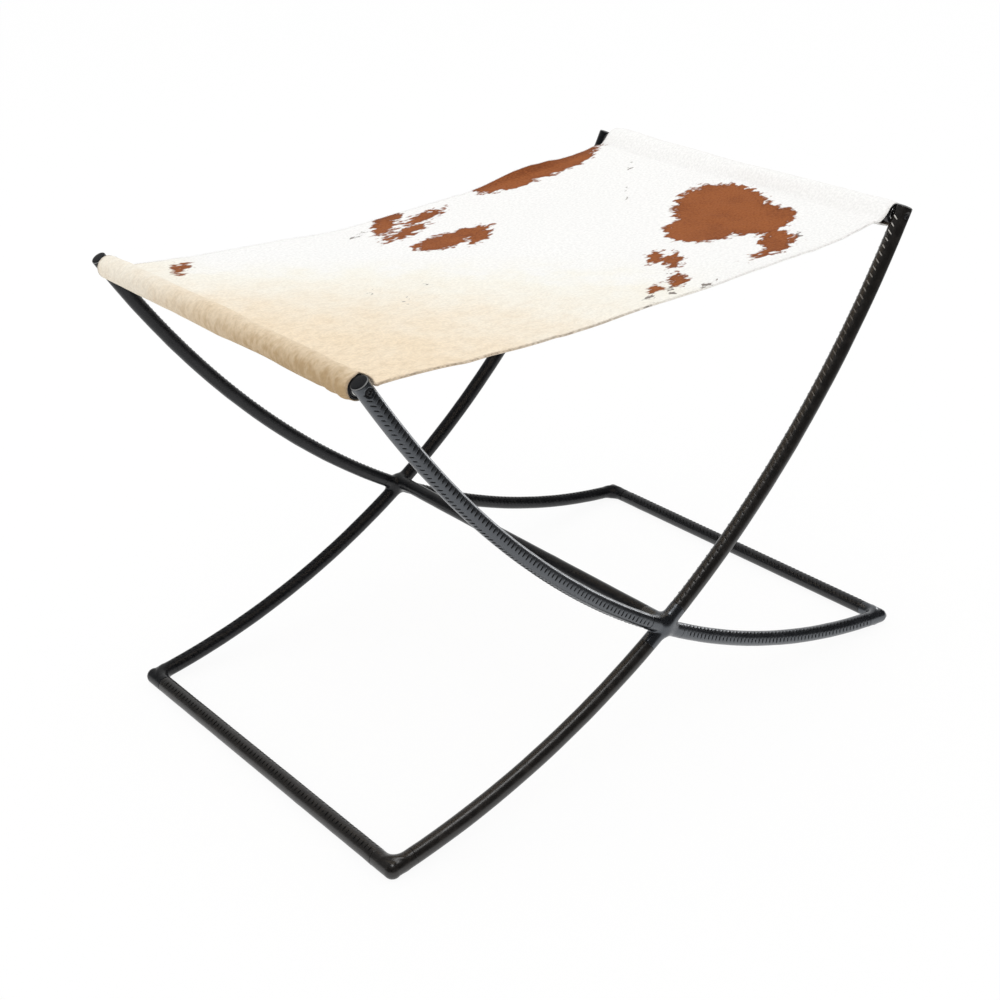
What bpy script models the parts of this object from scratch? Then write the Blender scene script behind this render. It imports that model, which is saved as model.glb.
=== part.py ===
"""Sled bench: a hide sling hung between two crossed side frames of leather-wrapped steel rod.

Metres, +Z up. X runs from seat rail to seat rail and Y along the rails. The origin is on the floor
under the middle of the bench. The near side is at -Y and left is at -X. A left leg has its top on
the left and its foot on the right, and a right leg is its mirror image in the same plane.
"""

import math

import bmesh
import bpy
import numpy as np

# Layout of the frame
SIDE_SPACING = 0.420  # between the planes of the near and the far legs
FOOT_SPACING = 0.640  # between the centrelines of the floor rails
LEG_LENGTH = 0.806  # along the centreline, from the corner at the floor to the sawn top
LEG_FOOT_ANGLE = math.radians(6.6)  # rise of a leg where it leaves its corner
LEG_FOOT_RADIUS = 0.713  # radius of the bend at the foot
LEG_TOP_RADIUS = 1.090  # radius of the bend at the top
LEG_STEP = 0.055  # longest straight facet along a leg
STRETCHER_RISE = 0.0045  # of the stretcher above the middle of the crossings

# Rod and leather
ROD_DIAMETER = 0.012
LEATHER = 0.0008  # wall of a wrap
CLEARANCE = 0.0003  # between pieces that touch
CORNER_LAP = 0.022  # reach of a corner patch along both of its bars
CROSSING_LAP = 0.010  # reach of a crossing patch past the point where its bars part
CROSSING_SWELL = 0.0085  # half thickness of a crossing patch across the legs' plane
CROSSING_FILLET = 0.015  # half width of the swelling between the legs
CAP_THICKNESS = 0.0012

# Seat rails and their screws
RAIL_DIAMETER = 0.019
RAIL_WALL = 0.0015
RAIL_SETBACK = 0.008  # from the sawn top of a leg down to the rail's axis
PLUG_LENGTH = 0.012
WASHER_DIAMETER = 0.013
WASHER_THICKNESS = 0.001
SCREW_DIAMETER = 0.004
SCREW_GRIP = 0.010  # length of thread inside the plug
HEAD_DIAMETER = 0.007
HEAD_HEIGHT = 0.0022
HEAD_RIM = 0.0007  # height of the upright rim under the dome
HEAD_FLAT = 0.0042  # diameter of the flat on top of the dome
HEAD_SINK = 0.0015  # depth of the flat that is cut in the rod for the head
SOCKET_DIAMETER = 0.003  # across the corners of the hexagon
SOCKET_DEPTH = 0.0013

# Hide sling
HIDE_THICKNESS = 0.0035
RAIL_SHOW = 0.004  # bare rail between the hide and the rail's end
SEAM_DISTANCE = 0.018  # from a rail's axis to the seam of its pocket
SEAM_DROP = 0.002  # of the seam below the rail's axis
SEAT_SAG = 0.017  # of the middle of the seat below the rails' axes
HEM_LENGTH = 0.018  # of hide turned under past the seam
LIP_RISE = 0.007  # of the far edge where it curls up
LIP_WIDTH = 0.020  # of the strip that curls
LIP_MIDDLE = 0.185  # of the curl, along X
LIP_REACH = 0.085  # of the curl to each side of its middle

# Facets
ROD_SIDES = 12
WRAP_SIDES = 16
TURNED_SIDES = 24
SCREW_SIDES = 12
SOCKET_SIDES = 6
SWELL_SEGMENTS = 16
SWELL_RINGS = 8
SEAT_FACETS = 15
POCKET_FACETS = 10
HEM_FACETS = 2
LIP_FACETS = 3
CURVE_SAMPLES = 4001  # along a leg, where its bend is summed up
SHARP_ANGLE = math.radians(35)  # edges sharper than this stay sharp in shading
MERGE_DISTANCE = 1e-6
CUTTER_SPARE = 0.006  # by which a cutter stands out of what it cuts

ROD_RADIUS = ROD_DIAMETER / 2
BORE_RADIUS = ROD_RADIUS + CLEARANCE
WRAP_RADIUS = BORE_RADIUS + LEATHER
# A flat facet of the floor rails' wraps lies on the floor.
FLOOR_AXIS = WRAP_RADIUS * math.cos(math.pi / WRAP_SIDES)
SIDE = SIDE_SPACING / 2
RAIL_END = SIDE - WRAP_RADIUS - WASHER_THICKNESS - 2 * CLEARANCE
HEAD_CLEAR = HEAD_DIAMETER / 2 + CLEARANCE
HEAD_SEAT = SIDE + ROD_RADIUS - HEAD_SINK
SHANK_CLEAR = SCREW_DIAMETER / 2 + CLEARANCE

X_AXIS = np.array([1.0, 0.0, 0.0])
Y_AXIS = np.array([0.0, 1.0, 0.0])
Z_AXIS = np.array([0.0, 0.0, 1.0])
SIDES = {"near": -1, "far": 1}
ENDS = {"left": -1, "right": 1}


def clear_scene():
    for obj in list(bpy.data.objects):
        bpy.data.objects.remove(obj, do_unlink=True)


def make_material(name, colour, roughness, metallic=0.0):
    material = bpy.data.materials.new(name)
    material.use_nodes = True
    shader = material.node_tree.nodes["Principled BSDF"]
    shader.inputs["Base Color"].default_value = (*colour, 1.0)
    shader.inputs["Roughness"].default_value = roughness
    shader.inputs["Metallic"].default_value = metallic
    return material


def finish_mesh(name, mesh_data, material=None):
    """One object from a finished bmesh. Without a material it is a helper that only cuts."""
    mesh = bpy.data.meshes.new(name)
    mesh_data.to_mesh(mesh)
    mesh_data.free()
    mesh.shade_smooth()
    mesh.set_sharp_from_angle(angle=SHARP_ANGLE)
    obj = bpy.data.objects.new(name, mesh)
    bpy.context.scene.collection.objects.link(obj)
    if material is None:
        obj.hide_render = True
        obj.display_type = "WIRE"
    else:
        mesh.materials.append(material)
    return obj


def add_boolean(obj, helper, operation):
    modifier = obj.modifiers.new(helper.name, "BOOLEAN")
    modifier.object = helper
    modifier.operation = operation
    modifier.solver = "EXACT"


def unit(vector):
    return vector / np.linalg.norm(vector)


def facet_down(side, step, sides):
    """The phase that turns one flat of a bar to the floor."""
    across = np.cross(side, step)
    return math.atan2(-side @ Z_AXIS, -across @ Z_AXIS) + math.pi / sides


def sweep_rings(path, side, radius, sides, phase, start_normal, end_normal):
    """Rings of a round bar along a path. Each ring lies in the plane that halves the bend there."""
    steps = [unit(b - a) for a, b in zip(path, path[1:])]
    normals = [unit(a + b) for a, b in zip(steps, steps[1:])]
    normals.insert(0, steps[0] if start_normal is None else start_normal)
    normals.append(steps[-1] if end_normal is None else end_normal)
    angles = phase + 2 * math.pi * np.arange(sides) / sides
    rings = []
    for centre, step, normal in zip(path, [steps[0], *steps], normals):
        across = np.cross(side, step)
        spokes = np.outer(np.cos(angles), across) + np.outer(np.sin(angles), side)
        slide = (spokes @ normal) / (step @ normal)
        rings.append(centre + radius * (spokes - np.outer(slide, step)))
    return rings


def sweep(name, path, side, radius, material=None, bore=0.0, sides=WRAP_SIDES, phase=0.0,
          start_normal=None, end_normal=None):
    """A solid bar along a path, or a tube where a bore is given. `side` is square to the whole path."""
    path = np.asarray(path)
    mesh_data = bmesh.new()

    def skin(skin_radius):
        rings = sweep_rings(path, side, skin_radius, sides, phase, start_normal, end_normal)
        return [[mesh_data.verts.new(point) for point in ring] for ring in rings]

    outer = skin(radius)
    inner = skin(bore) if bore else None
    for k in range(sides):
        n = (k + 1) % sides
        for a, b in zip(outer, outer[1:]):
            mesh_data.faces.new((a[k], a[n], b[n], b[k]))
        if inner:
            for a, b in zip(inner, inner[1:]):
                mesh_data.faces.new((a[n], a[k], b[k], b[n]))
            mesh_data.faces.new((outer[0][n], outer[0][k], inner[0][k], inner[0][n]))
            mesh_data.faces.new((outer[-1][k], outer[-1][n], inner[-1][n], inner[-1][k]))
    if not inner:
        mesh_data.faces.new(outer[0][::-1])
        mesh_data.faces.new(outer[-1])
    return finish_mesh(name, mesh_data, material)


def turn(name, profile, axis_point, facing, sides, material=None):
    """A solid turned about a line along Y. The closed profile holds radii and distances from Y = 0."""
    mesh_data = bmesh.new()
    x, z = axis_point
    verts = [mesh_data.verts.new((x + radius, facing * out, z)) for radius, out in profile]
    edges = [mesh_data.edges.new((a, b)) for a, b in zip(verts, verts[1:] + verts[:1])]
    bmesh.ops.spin(mesh_data, geom=verts + edges, cent=(x, 0, z), axis=(0, 1, 0),
                   angle=2 * math.pi, steps=sides, use_merge=True)
    bmesh.ops.remove_doubles(mesh_data, verts=mesh_data.verts, dist=MERGE_DISTANCE)
    loose = [edge for edge in mesh_data.edges if not edge.link_faces]
    bmesh.ops.delete(mesh_data, geom=loose, context="EDGES")
    bmesh.ops.recalc_face_normals(mesh_data, faces=mesh_data.faces)
    return finish_mesh(name, mesh_data, material)


class LegCurve:
    """The centreline of a left leg: its curvature changes evenly from the foot to the sawn top."""

    def __init__(self):
        self.s = np.linspace(0, LEG_LENGTH, CURVE_SAMPLES)
        foot_bend = 1 / LEG_FOOT_RADIUS
        change = (1 / LEG_TOP_RADIUS - foot_bend) / LEG_LENGTH
        self.rise = LEG_FOOT_ANGLE + foot_bend * self.s + change * self.s**2 / 2
        self.x = FOOT_SPACING / 2 - self.summed(np.cos(self.rise))
        self.z = FLOOR_AXIS + self.summed(np.sin(self.rise))
        self.crossing = np.interp(0, -self.x, self.s)
        rise = np.interp(self.crossing, self.s, self.rise)
        narrow_half = min(rise, math.pi / 2 - rise)
        self.patch_reach = WRAP_RADIUS / math.sin(narrow_half) + CROSSING_LAP
        self.patch_low = self.crossing - self.patch_reach
        self.patch_high = self.crossing + self.patch_reach
        self.stations = self.spaced()

    def summed(self, values):
        steps = (values[1:] + values[:-1]) / 2 * np.diff(self.s)
        return np.concatenate([[0], np.cumsum(steps)])

    def spaced(self):
        """Stations shared by the rod and its wraps, so that their facets lie side by side."""
        stops = [0, CORNER_LAP, self.patch_low, self.crossing, self.patch_high, LEG_LENGTH]
        spans = []
        for start, end in zip(stops, stops[1:]):
            count = math.ceil((end - start) / LEG_STEP)
            spans.append(np.linspace(start, end, count, endpoint=False))
        return np.concatenate([*spans, [LEG_LENGTH]])

    def points(self, distances, end, side):
        """Points on the leg whose top is at `end`, in the plane of `side`."""
        x = np.interp(distances, self.s, self.x)
        z = np.interp(distances, self.s, self.z)
        return np.stack([-end * x, np.full_like(x, side * SIDE), z], axis=1)

    def direction(self, distance, end):
        """The way up the leg at one point of it."""
        rise = np.interp(distance, self.s, self.rise)
        return np.array([end * math.cos(rise), 0, math.sin(rise)])

    def path(self, start, stop, end, side):
        between = (self.stations > start + CLEARANCE) & (self.stations < stop - CLEARANCE)
        return self.points(np.concatenate([[start], self.stations[between], [stop]]), end, side)


def leg_phase(end, sides):
    """Left legs have an edge, and right legs a flat, at their widest. No two facets then share a plane."""
    return math.pi / 2 + (math.pi / sides if end > 0 else 0)


def sweep_leg(name, leg, start, stop, end, side, radius, material=None, bore=0.0, sides=WRAP_SIDES,
              foot=None):
    """A stretch of a leg, cut square to the curve at both ends, or at its foot to the plane given."""
    start_normal = leg.direction(start, end) if foot is None else foot
    return sweep(name, leg.path(start, stop, end, side), Y_AXIS, radius, material, bore, sides,
                 leg_phase(end, sides), start_normal, leg.direction(stop, end))


def corner_mitre(leg, end, side):
    """Where a leg meets its floor rail: the corner, both directions out of it and the mitre's normal."""
    corner, next_point = leg.points(np.array([0, CORNER_LAP]), end, side)
    along_leg = unit(next_point - corner)
    along_rail = np.array([0, -side, 0])
    return corner, along_leg, along_rail, unit(along_leg - along_rail)


def make_corner_wrap(name, leg, end, side, material):
    corner, along_leg, along_rail, _ = corner_mitre(leg, end, side)
    path = [corner + CORNER_LAP * along_rail, corner, corner + CORNER_LAP * along_leg]
    upright = unit(np.cross(along_rail, along_leg))
    phase = facet_down(upright, -along_rail, WRAP_SIDES)
    sweep(name, path, upright, WRAP_RADIUS, material, BORE_RADIUS, phase=phase,
          end_normal=leg.direction(CORNER_LAP, end))


def stretcher_end(leg, side):
    """Where the stretcher's centreline meets the plane of one side frame."""
    return leg.points(np.array([leg.crossing]), -1, side)[0] + STRETCHER_RISE * Z_AXIS


def make_crossing_wrap(name, leg, side, material):
    """A leather patch over both legs and the stretcher's end, swollen over the welds between them."""

    def leg_tube(label, end, radius, more, tube_material=None):
        return sweep_leg(label, leg, leg.patch_low - more, leg.patch_high + more, end, side, radius,
                         tube_material)

    def stub(label, radius, reach):
        start = stretcher_end(leg, side)
        return sweep(label, [start, start - side * reach * Y_AXIS], X_AXIS, radius,
                     phase=facet_down(X_AXIS, Y_AXIS, WRAP_SIDES))

    patch = leg_tube(name, -1, WRAP_RADIUS, 0, material)
    swell = bmesh.new()
    bmesh.ops.create_uvsphere(swell, u_segments=SWELL_SEGMENTS, v_segments=SWELL_RINGS, radius=1)
    bmesh.ops.scale(swell, vec=(CROSSING_FILLET, CROSSING_SWELL, CROSSING_FILLET), verts=swell.verts)
    middle = leg.points(np.array([leg.crossing]), -1, side)[0]
    bmesh.ops.translate(swell, vec=middle, verts=swell.verts)
    add_boolean(patch, finish_mesh(name + "_swell", swell), "UNION")
    add_boolean(patch, leg_tube(name + "_other_leg", 1, WRAP_RADIUS, 0), "UNION")
    add_boolean(patch, stub(name + "_stub", WRAP_RADIUS, leg.patch_reach), "UNION")
    add_boolean(patch, leg_tube(name + "_bore", -1, BORE_RADIUS, CUTTER_SPARE), "DIFFERENCE")
    add_boolean(patch, leg_tube(name + "_other_bore", 1, BORE_RADIUS, CUTTER_SPARE), "DIFFERENCE")
    add_boolean(patch, stub(name + "_stub_bore", BORE_RADIUS, leg.patch_reach + CUTTER_SPARE), "DIFFERENCE")


def make_side(label, side, leg, materials):
    """The rods, wraps and caps of one side frame."""
    steel = materials["rod_steel"]
    leather = materials["black_leather"]
    low = leg.patch_low - CLEARANCE
    high = leg.patch_high + CLEARANCE
    for end_label, end in ENDS.items():
        leg_name = f"{label}_{end_label}_leg"
        _, _, _, mitre = corner_mitre(leg, end, side)

        def rod(part, start, stop, foot=None):
            return sweep_leg(f"{leg_name}_{part}", leg, start, stop, end, side, ROD_RADIUS, steel,
                             sides=ROD_SIDES, foot=foot)

        def wrap(part, start, stop):
            return sweep_leg(f"{leg_name}_{part}", leg, start, stop, end, side, WRAP_RADIUS, leather,
                             bore=BORE_RADIUS)

        if end < 0:
            top_rod = rod("rod", CLEARANCE, LEG_LENGTH, mitre)
        else:
            low_rod = rod("lower_rod", CLEARANCE, leg.crossing, mitre)
            top_rod = rod("upper_rod", leg.crossing, LEG_LENGTH)
            cope = sweep_leg(f"{leg_name}_cope", leg, low, high, -1, side, BORE_RADIUS)
            add_boolean(low_rod, cope, "DIFFERENCE")
            add_boolean(top_rod, cope, "DIFFERENCE")
        wrap("lower_wrap", CORNER_LAP + CLEARANCE, low)
        top_wrap = wrap("upper_wrap", high, LEG_LENGTH)
        cut_screw_hole(f"{leg_name}_screw_hole", leg, end, side, [top_rod, top_wrap])
        top = leg.points(np.array([LEG_LENGTH]), end, side)[0]
        upward = leg.direction(LEG_LENGTH, end)
        cap_path = [top + CLEARANCE * upward, top + (CLEARANCE + CAP_THICKNESS) * upward]
        sweep(f"{leg_name}_cap", cap_path, Y_AXIS, WRAP_RADIUS, leather, phase=leg_phase(end, WRAP_SIDES))
        make_corner_wrap(f"{label}_{'left' if end > 0 else 'right'}_corner_wrap", leg, end, side, leather)
    make_crossing_wrap(f"{label}_crossing_wrap", leg, side, leather)


def rail_axis(leg, end):
    point = leg.points(np.array([LEG_LENGTH - RAIL_SETBACK]), end, 1)[0]
    return point[0], point[2]


def cut_screw_hole(name, leg, end, side, pieces):
    """A hole along Y through a leg's top, with a flat cut for the screw's head."""
    inside = SIDE - WRAP_RADIUS - CUTTER_SPARE
    outside = SIDE + WRAP_RADIUS + CUTTER_SPARE
    profile = [(0, inside), (SHANK_CLEAR, inside), (SHANK_CLEAR, HEAD_SEAT), (HEAD_CLEAR, HEAD_SEAT),
               (HEAD_CLEAR, outside), (0, outside)]
    cutter = turn(name, profile, rail_axis(leg, end), side, SCREW_SIDES)
    for piece in pieces:
        add_boolean(piece, cutter, "DIFFERENCE")


def make_floor_rail(end_label, end, leg, materials):
    """The rod under one end, mitred to the legs, and its wrap between the corner patches."""
    near, _, _, near_mitre = corner_mitre(leg, -end, -1)
    far, _, _, far_mitre = corner_mitre(leg, -end, 1)
    shift = CLEARANCE * Y_AXIS
    sweep(f"{end_label}_floor_rod", [near + shift, far - shift], X_AXIS, ROD_RADIUS,
          materials["rod_steel"], sides=ROD_SIDES, phase=facet_down(X_AXIS, Y_AXIS, ROD_SIDES),
          start_normal=-near_mitre, end_normal=far_mitre)
    shift = (CORNER_LAP + CLEARANCE) * Y_AXIS
    sweep(f"{end_label}_floor_wrap", [near + shift, far - shift], X_AXIS, WRAP_RADIUS,
          materials["black_leather"], BORE_RADIUS, phase=facet_down(X_AXIS, Y_AXIS, WRAP_SIDES))


def make_stretcher(leg, materials):
    near = stretcher_end(leg, -1)
    far = stretcher_end(leg, 1)
    shift = (ROD_RADIUS + CLEARANCE) * Y_AXIS
    sweep("stretcher_rod", [near + shift, far - shift], X_AXIS, ROD_RADIUS, materials["rod_steel"],
          sides=ROD_SIDES, phase=facet_down(X_AXIS, Y_AXIS, ROD_SIDES))
    shift = (leg.patch_reach + CLEARANCE) * Y_AXIS
    sweep("stretcher_wrap", [near + shift, far - shift], X_AXIS, WRAP_RADIUS, materials["black_leather"],
          BORE_RADIUS, phase=facet_down(X_AXIS, Y_AXIS, WRAP_SIDES))


def ring_profile(outer, inner, start, stop):
    return [(inner, start), (outer, start), (outer, stop), (inner, stop)]


def make_seat_rail(end_label, end, leg, materials):
    """A tube with a threaded plug, a washer and a screw at each of its ends."""
    axis = rail_axis(leg, end)
    bore = RAIL_DIAMETER / 2 - RAIL_WALL
    tube = ring_profile(RAIL_DIAMETER / 2, bore, -RAIL_END, RAIL_END)
    turn(f"{end_label}_seat_rail", tube, axis, 1, TURNED_SIDES, materials["black_paint"])
    plug = ring_profile(bore - CLEARANCE, SHANK_CLEAR, RAIL_END - PLUG_LENGTH, RAIL_END)
    washer_start = RAIL_END + CLEARANCE
    washer = ring_profile(WASHER_DIAMETER / 2, SHANK_CLEAR, washer_start, washer_start + WASHER_THICKNESS)
    for label, side in SIDES.items():
        name = f"{label}_{end_label}"
        turn(f"{name}_rail_plug", plug, axis, side, TURNED_SIDES, materials["rod_steel"])
        turn(f"{name}_washer", washer, axis, side, WRAP_SIDES, materials["bright_steel"])
        make_screw(f"{name}_screw", axis, side, materials["black_oxide"])


def make_screw(name, axis, side, material):
    """A button-head screw with a hexagon socket, its head on the flat that is cut in the leg."""
    under = HEAD_SEAT + CLEARANCE
    rim = under + HEAD_RIM
    top = under + HEAD_HEIGHT
    tip = RAIL_END - SCREW_GRIP
    shank = SCREW_DIAMETER / 2
    head = HEAD_DIAMETER / 2
    flat = HEAD_FLAT / 2
    half_turn = math.sqrt(0.5)
    shoulder = (flat + (head - flat) * half_turn, rim + (top - rim) * half_turn)
    profile = [(0, tip), (shank, tip), (shank, under), (head, under), (head, rim), shoulder, (flat, top),
               (0, top)]
    screw = turn(name, profile, axis, side, SCREW_SIDES, material)
    socket = SOCKET_DIAMETER / 2
    floor = top - SOCKET_DEPTH
    mouth = top + CUTTER_SPARE
    socket_profile = [(0, floor), (socket, floor), (socket, mouth), (0, mouth)]
    add_boolean(screw, turn(name + "_socket", socket_profile, axis, side, SOCKET_SIDES), "DIFFERENCE")


def hide_line(rail_x, rail_z):
    """Middle line of the right half of the hide, from the middle of the seat out round the rail and back.

    The seat is a shallow parabola as far as the seam. The hide then goes up to the rail, round it and
    back to the seam, and ends in a hem that runs on under the seat.
    """
    seam_x = rail_x - SEAM_DISTANCE
    seam_z = rail_z - SEAM_DROP

    def seat_height(x):
        return rail_z - SEAT_SAG + (SEAT_SAG - SEAM_DROP) * (x / seam_x) ** 2

    seat_x = seam_x * np.arange(1, SEAT_FACETS + 1, 2) / SEAT_FACETS
    seat = np.stack([seat_x, seat_height(seat_x)], axis=1)
    centre = np.array([rail_x, rail_z])
    round_radius = RAIL_DIAMETER / 2 + CLEARANCE + HIDE_THICKNESS / 2
    fold = HIDE_THICKNESS + CLEARANCE

    def tangent_angle(point, way):
        away = point - centre
        toward = math.atan2(away[1], away[0]) % (2 * math.pi)
        return toward + way * math.acos(round_radius / np.hypot(*away))

    under_seam = np.array([seam_x, seam_z - fold])
    first = tangent_angle(np.array([seam_x, seam_z]), -1)
    last = tangent_angle(under_seam, 1) - 2 * math.pi
    angles = np.linspace(first, last, POCKET_FACETS + 1)
    pocket = centre + round_radius * np.stack([np.cos(angles), np.sin(angles)], axis=1)
    hem_x = seam_x - np.linspace(0, HEM_LENGTH, HEM_FACETS + 1)
    hem = np.stack([hem_x, seat_height(hem_x) - fold], axis=1)
    return np.concatenate([seat, pocket, hem])


def offset_line(line, distance):
    """The line moved sideways, with its corners mitred."""
    steps = np.diff(line, axis=0)
    steps /= np.linalg.norm(steps, axis=1)[:, None]
    normals = np.stack([-steps[:, 1], steps[:, 0]], axis=1)
    before = np.concatenate([normals[:1], normals])
    after = np.concatenate([normals, normals[-1:]])
    total = before + after
    return line + 2 * distance * total / (total**2).sum(axis=1)[:, None]


def make_sling(leg, material):
    """One hide, folded round both rails and sewn to itself, with its far edge curled up at the right."""
    rail_x, rail_z = rail_axis(leg, 1)
    half = hide_line(rail_x, rail_z)
    line = np.concatenate([half[::-1] * (-1, 1), half])
    section = np.concatenate([offset_line(line, HIDE_THICKNESS / 2),
                              offset_line(line, -HIDE_THICKNESS / 2)[::-1]])
    half_width = RAIL_END - RAIL_SHOW
    lip_start = half_width - LIP_WIDTH
    widths = [-half_width, 0, *np.linspace(lip_start, half_width, LIP_FACETS + 1)]
    window = np.clip(np.abs(section[:, 0] - LIP_MIDDLE) / LIP_REACH, 0, 1)
    curl = LIP_RISE * (1 + np.cos(math.pi * window)) / 2
    mesh_data = bmesh.new()
    loops = []
    for y in widths:
        share = max((y - lip_start) / LIP_WIDTH, 0) ** 2
        heights = section[:, 1] + share * curl
        loops.append([mesh_data.verts.new((x, y, z)) for x, z in zip(section[:, 0], heights)])
    count = len(section)
    for a, b in zip(loops, loops[1:]):
        for k in range(count):
            n = (k + 1) % count
            mesh_data.faces.new((a[k], b[k], b[n], a[n]))
    for loop in (loops[0], loops[-1]):
        for k in range(len(line) - 1):
            mesh_data.faces.new((loop[k], loop[k + 1], loop[count - 2 - k], loop[count - 1 - k]))
    bmesh.ops.recalc_face_normals(mesh_data, faces=mesh_data.faces)
    finish_mesh("seat_hide", mesh_data, material)


def main():
    clear_scene()
    materials = {
        "rod_steel": make_material("rod_steel", (0.42, 0.41, 0.40), 0.45, 1.0),
        "bright_steel": make_material("bright_steel", (0.62, 0.61, 0.60), 0.3, 1.0),
        "black_oxide": make_material("black_oxide", (0.02, 0.02, 0.02), 0.4, 0.6),
        "black_paint": make_material("black_paint", (0.012, 0.012, 0.012), 0.35),
        "black_leather": make_material("black_leather", (0.018, 0.017, 0.016), 0.42),
        "hide": make_material("hide", (0.86, 0.80, 0.70), 0.8),
    }
    leg = LegCurve()
    for label, side in SIDES.items():
        make_side(label, side, leg, materials)
    for end_label, end in ENDS.items():
        make_floor_rail(end_label, end, leg, materials)
        make_seat_rail(end_label, end, leg, materials)
    make_stretcher(leg, materials)
    make_sling(leg, materials["hide"])


main()
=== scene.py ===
"""Sled bench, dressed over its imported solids.

Rod frames wrapped in sewn black leather, seat rails with their screws, and a haired hide slung between
the rails. X runs from rail to rail, Y along the rails and Z up from the floor, all in metres. Near is
the -Y side and left the -X side; a leg is named for the end where its top is.
"""

import math

import bmesh
import bpy
import mathutils
import numpy as np
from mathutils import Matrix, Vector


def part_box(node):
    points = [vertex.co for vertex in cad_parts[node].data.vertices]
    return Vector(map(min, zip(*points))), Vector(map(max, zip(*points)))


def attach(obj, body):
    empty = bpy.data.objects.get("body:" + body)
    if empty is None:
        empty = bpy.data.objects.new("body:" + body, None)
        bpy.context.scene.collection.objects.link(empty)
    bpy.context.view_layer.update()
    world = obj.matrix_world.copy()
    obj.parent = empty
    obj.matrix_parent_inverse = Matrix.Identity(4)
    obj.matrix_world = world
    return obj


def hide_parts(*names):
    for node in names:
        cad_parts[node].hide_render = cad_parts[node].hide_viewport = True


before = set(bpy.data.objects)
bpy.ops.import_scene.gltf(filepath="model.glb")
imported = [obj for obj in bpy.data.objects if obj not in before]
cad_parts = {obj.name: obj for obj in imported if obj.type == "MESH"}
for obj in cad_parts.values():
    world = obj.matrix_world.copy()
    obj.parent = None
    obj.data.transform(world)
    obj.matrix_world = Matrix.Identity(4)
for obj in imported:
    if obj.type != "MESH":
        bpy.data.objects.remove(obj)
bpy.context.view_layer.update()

bl_info = {
    "name": "Sled bench looks",
    "version": (1, 0, 0),
    "blender": (4, 5, 0),
    "location": "View3D > Sidebar > Sled bench",
    "description": "Dresses the packed sled bench in leather, thread and hide",
    "category": "Object",
}

SIDES = {"near": -1, "far": 1}
ENDS = {"left": -1, "right": 1}


def middle(node):
    """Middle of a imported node's box."""
    low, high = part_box(node)
    return (np.array(low) + np.array(high)) / 2


def reach(node, axis):
    """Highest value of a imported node's box along an axis."""
    return float(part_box(node)[1][axis])


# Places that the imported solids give
FOOT_X, _, FLOOR_AXIS = middle("right_floor_rod")
SIDE_Y = middle("far_left_leg_rod")[1]
RAIL_X, _, RAIL_Z = middle("right_seat_rail")
RAIL_RADIUS = reach("right_seat_rail", 2) - RAIL_Z
RAIL_END = reach("right_seat_rail", 1)
HIDE_HALF = reach("seat_hide", 1)
STRETCHER_Z = middle("stretcher_rod")[2]
STRETCHER_END = reach("stretcher_wrap", 1)
FLOOR_WRAP_END = reach("right_floor_wrap", 1)

# Stitch rows of each wrap, in degrees round the bar from its outward side towards its upper side:
# the first row where the wrap starts and where it stops, then the second row in the same way
STITCH_ROWS = {
    "near_left_lower": (4, 0, 70, 66),
    "near_left_upper": (-6, 19, -104, -28),
    "near_right_lower": (158, 158, 226, 226),
    "near_right_upper": (75, 86, 166, 166),
    "far_left_lower": (96, 96, 160, 160),
    "far_left_upper": (96, 96, 20, 20),
    "far_right_lower": (84, 84, 148, 148),
    "far_right_upper": (20, 20, -50, -50),
    "left_floor": (64, 64, 128, 128),
    "right_floor": (64, 64, 128, 128),
    "stretcher": (215, 215, 280, 280),
}
# How much thicker than the plain wraps the leather of some bars is, in millimetres
THICKER = {"near_left": 0.4, "near_right": 0.9, "far_right": 0.4, "left_floor": 1.3, "right_floor": 0.3}
# Fillets in the right, left, upper and lower fork of each crossing and on its face, and how far from
# the crossing's middle the face's fillet goes over into those of the forks
FORK_BLENDS = {"near": (0.0060, 0.0022, 0.0045, 0.0100), "far": (0.0050, 0.0075, 0.0060, 0.0060)}
FACE_BLEND = 0.0060
FORK_SOFTNESS = 0.006
# Slant of the stitches of each row, from the bar's own direction
ROW_SLANTS = {"left": (86, 128), "right": (56, 56)}
# Leather of each bar and joint, by the start of its name; the first that fits counts. The near left legs take
# the glossiest copy of the black leather as painted light, and the far bars, the stretcher and the near left
# leg end take the dull copy as painted shade
LEATHERS = {
    "near_left_corner": "brown",
    "near_left_leg_end": "dull",
    "near_left": "gloss",
    "near_crossing": "gloss",
    "near_right_corner": "gloss",
    "near_right": "brown",
    "left_floor": "brown",
    "stretcher": "dull",
    "right_floor": "plain",
    "far": "dull",
}
# Wraps whose thread is painted pale as a painted highlight for the glints on their stitches, and the heights
# over which that painted highlight goes from dark to dull and on to pale
PALE_STITCHES = ("near_right_upper",)
DULL_FROM, DULL_TO = 0.19, 0.31
PALE_FROM, PALE_TO = 0.36, 0.455

# Leathers: the colour with its rubbed one, roughness, relief, shine and how strongly it bends light. The black
# kinds are lit and shaded copies of one leather: gloss shines most, as painted light, and dull least, as
# painted shade
LEATHER_KINDS = {
    "gloss": dict(base="black", rough=0.24, relief=0.030, specular=1.0, ior=1.62, tint="blue_gloss"),
    "plain": dict(base="black", rough=0.26, relief=0.020, specular=0.52, ior=1.55),
    "dull": dict(base="black", rough=0.28, relief=0.020, specular=0.30, ior=1.55),
    "brown": dict(base="brown", rough=0.30, relief=0.004, specular=0.60, ior=1.55),
}
LEATHER_GRAIN = 800.0
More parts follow.
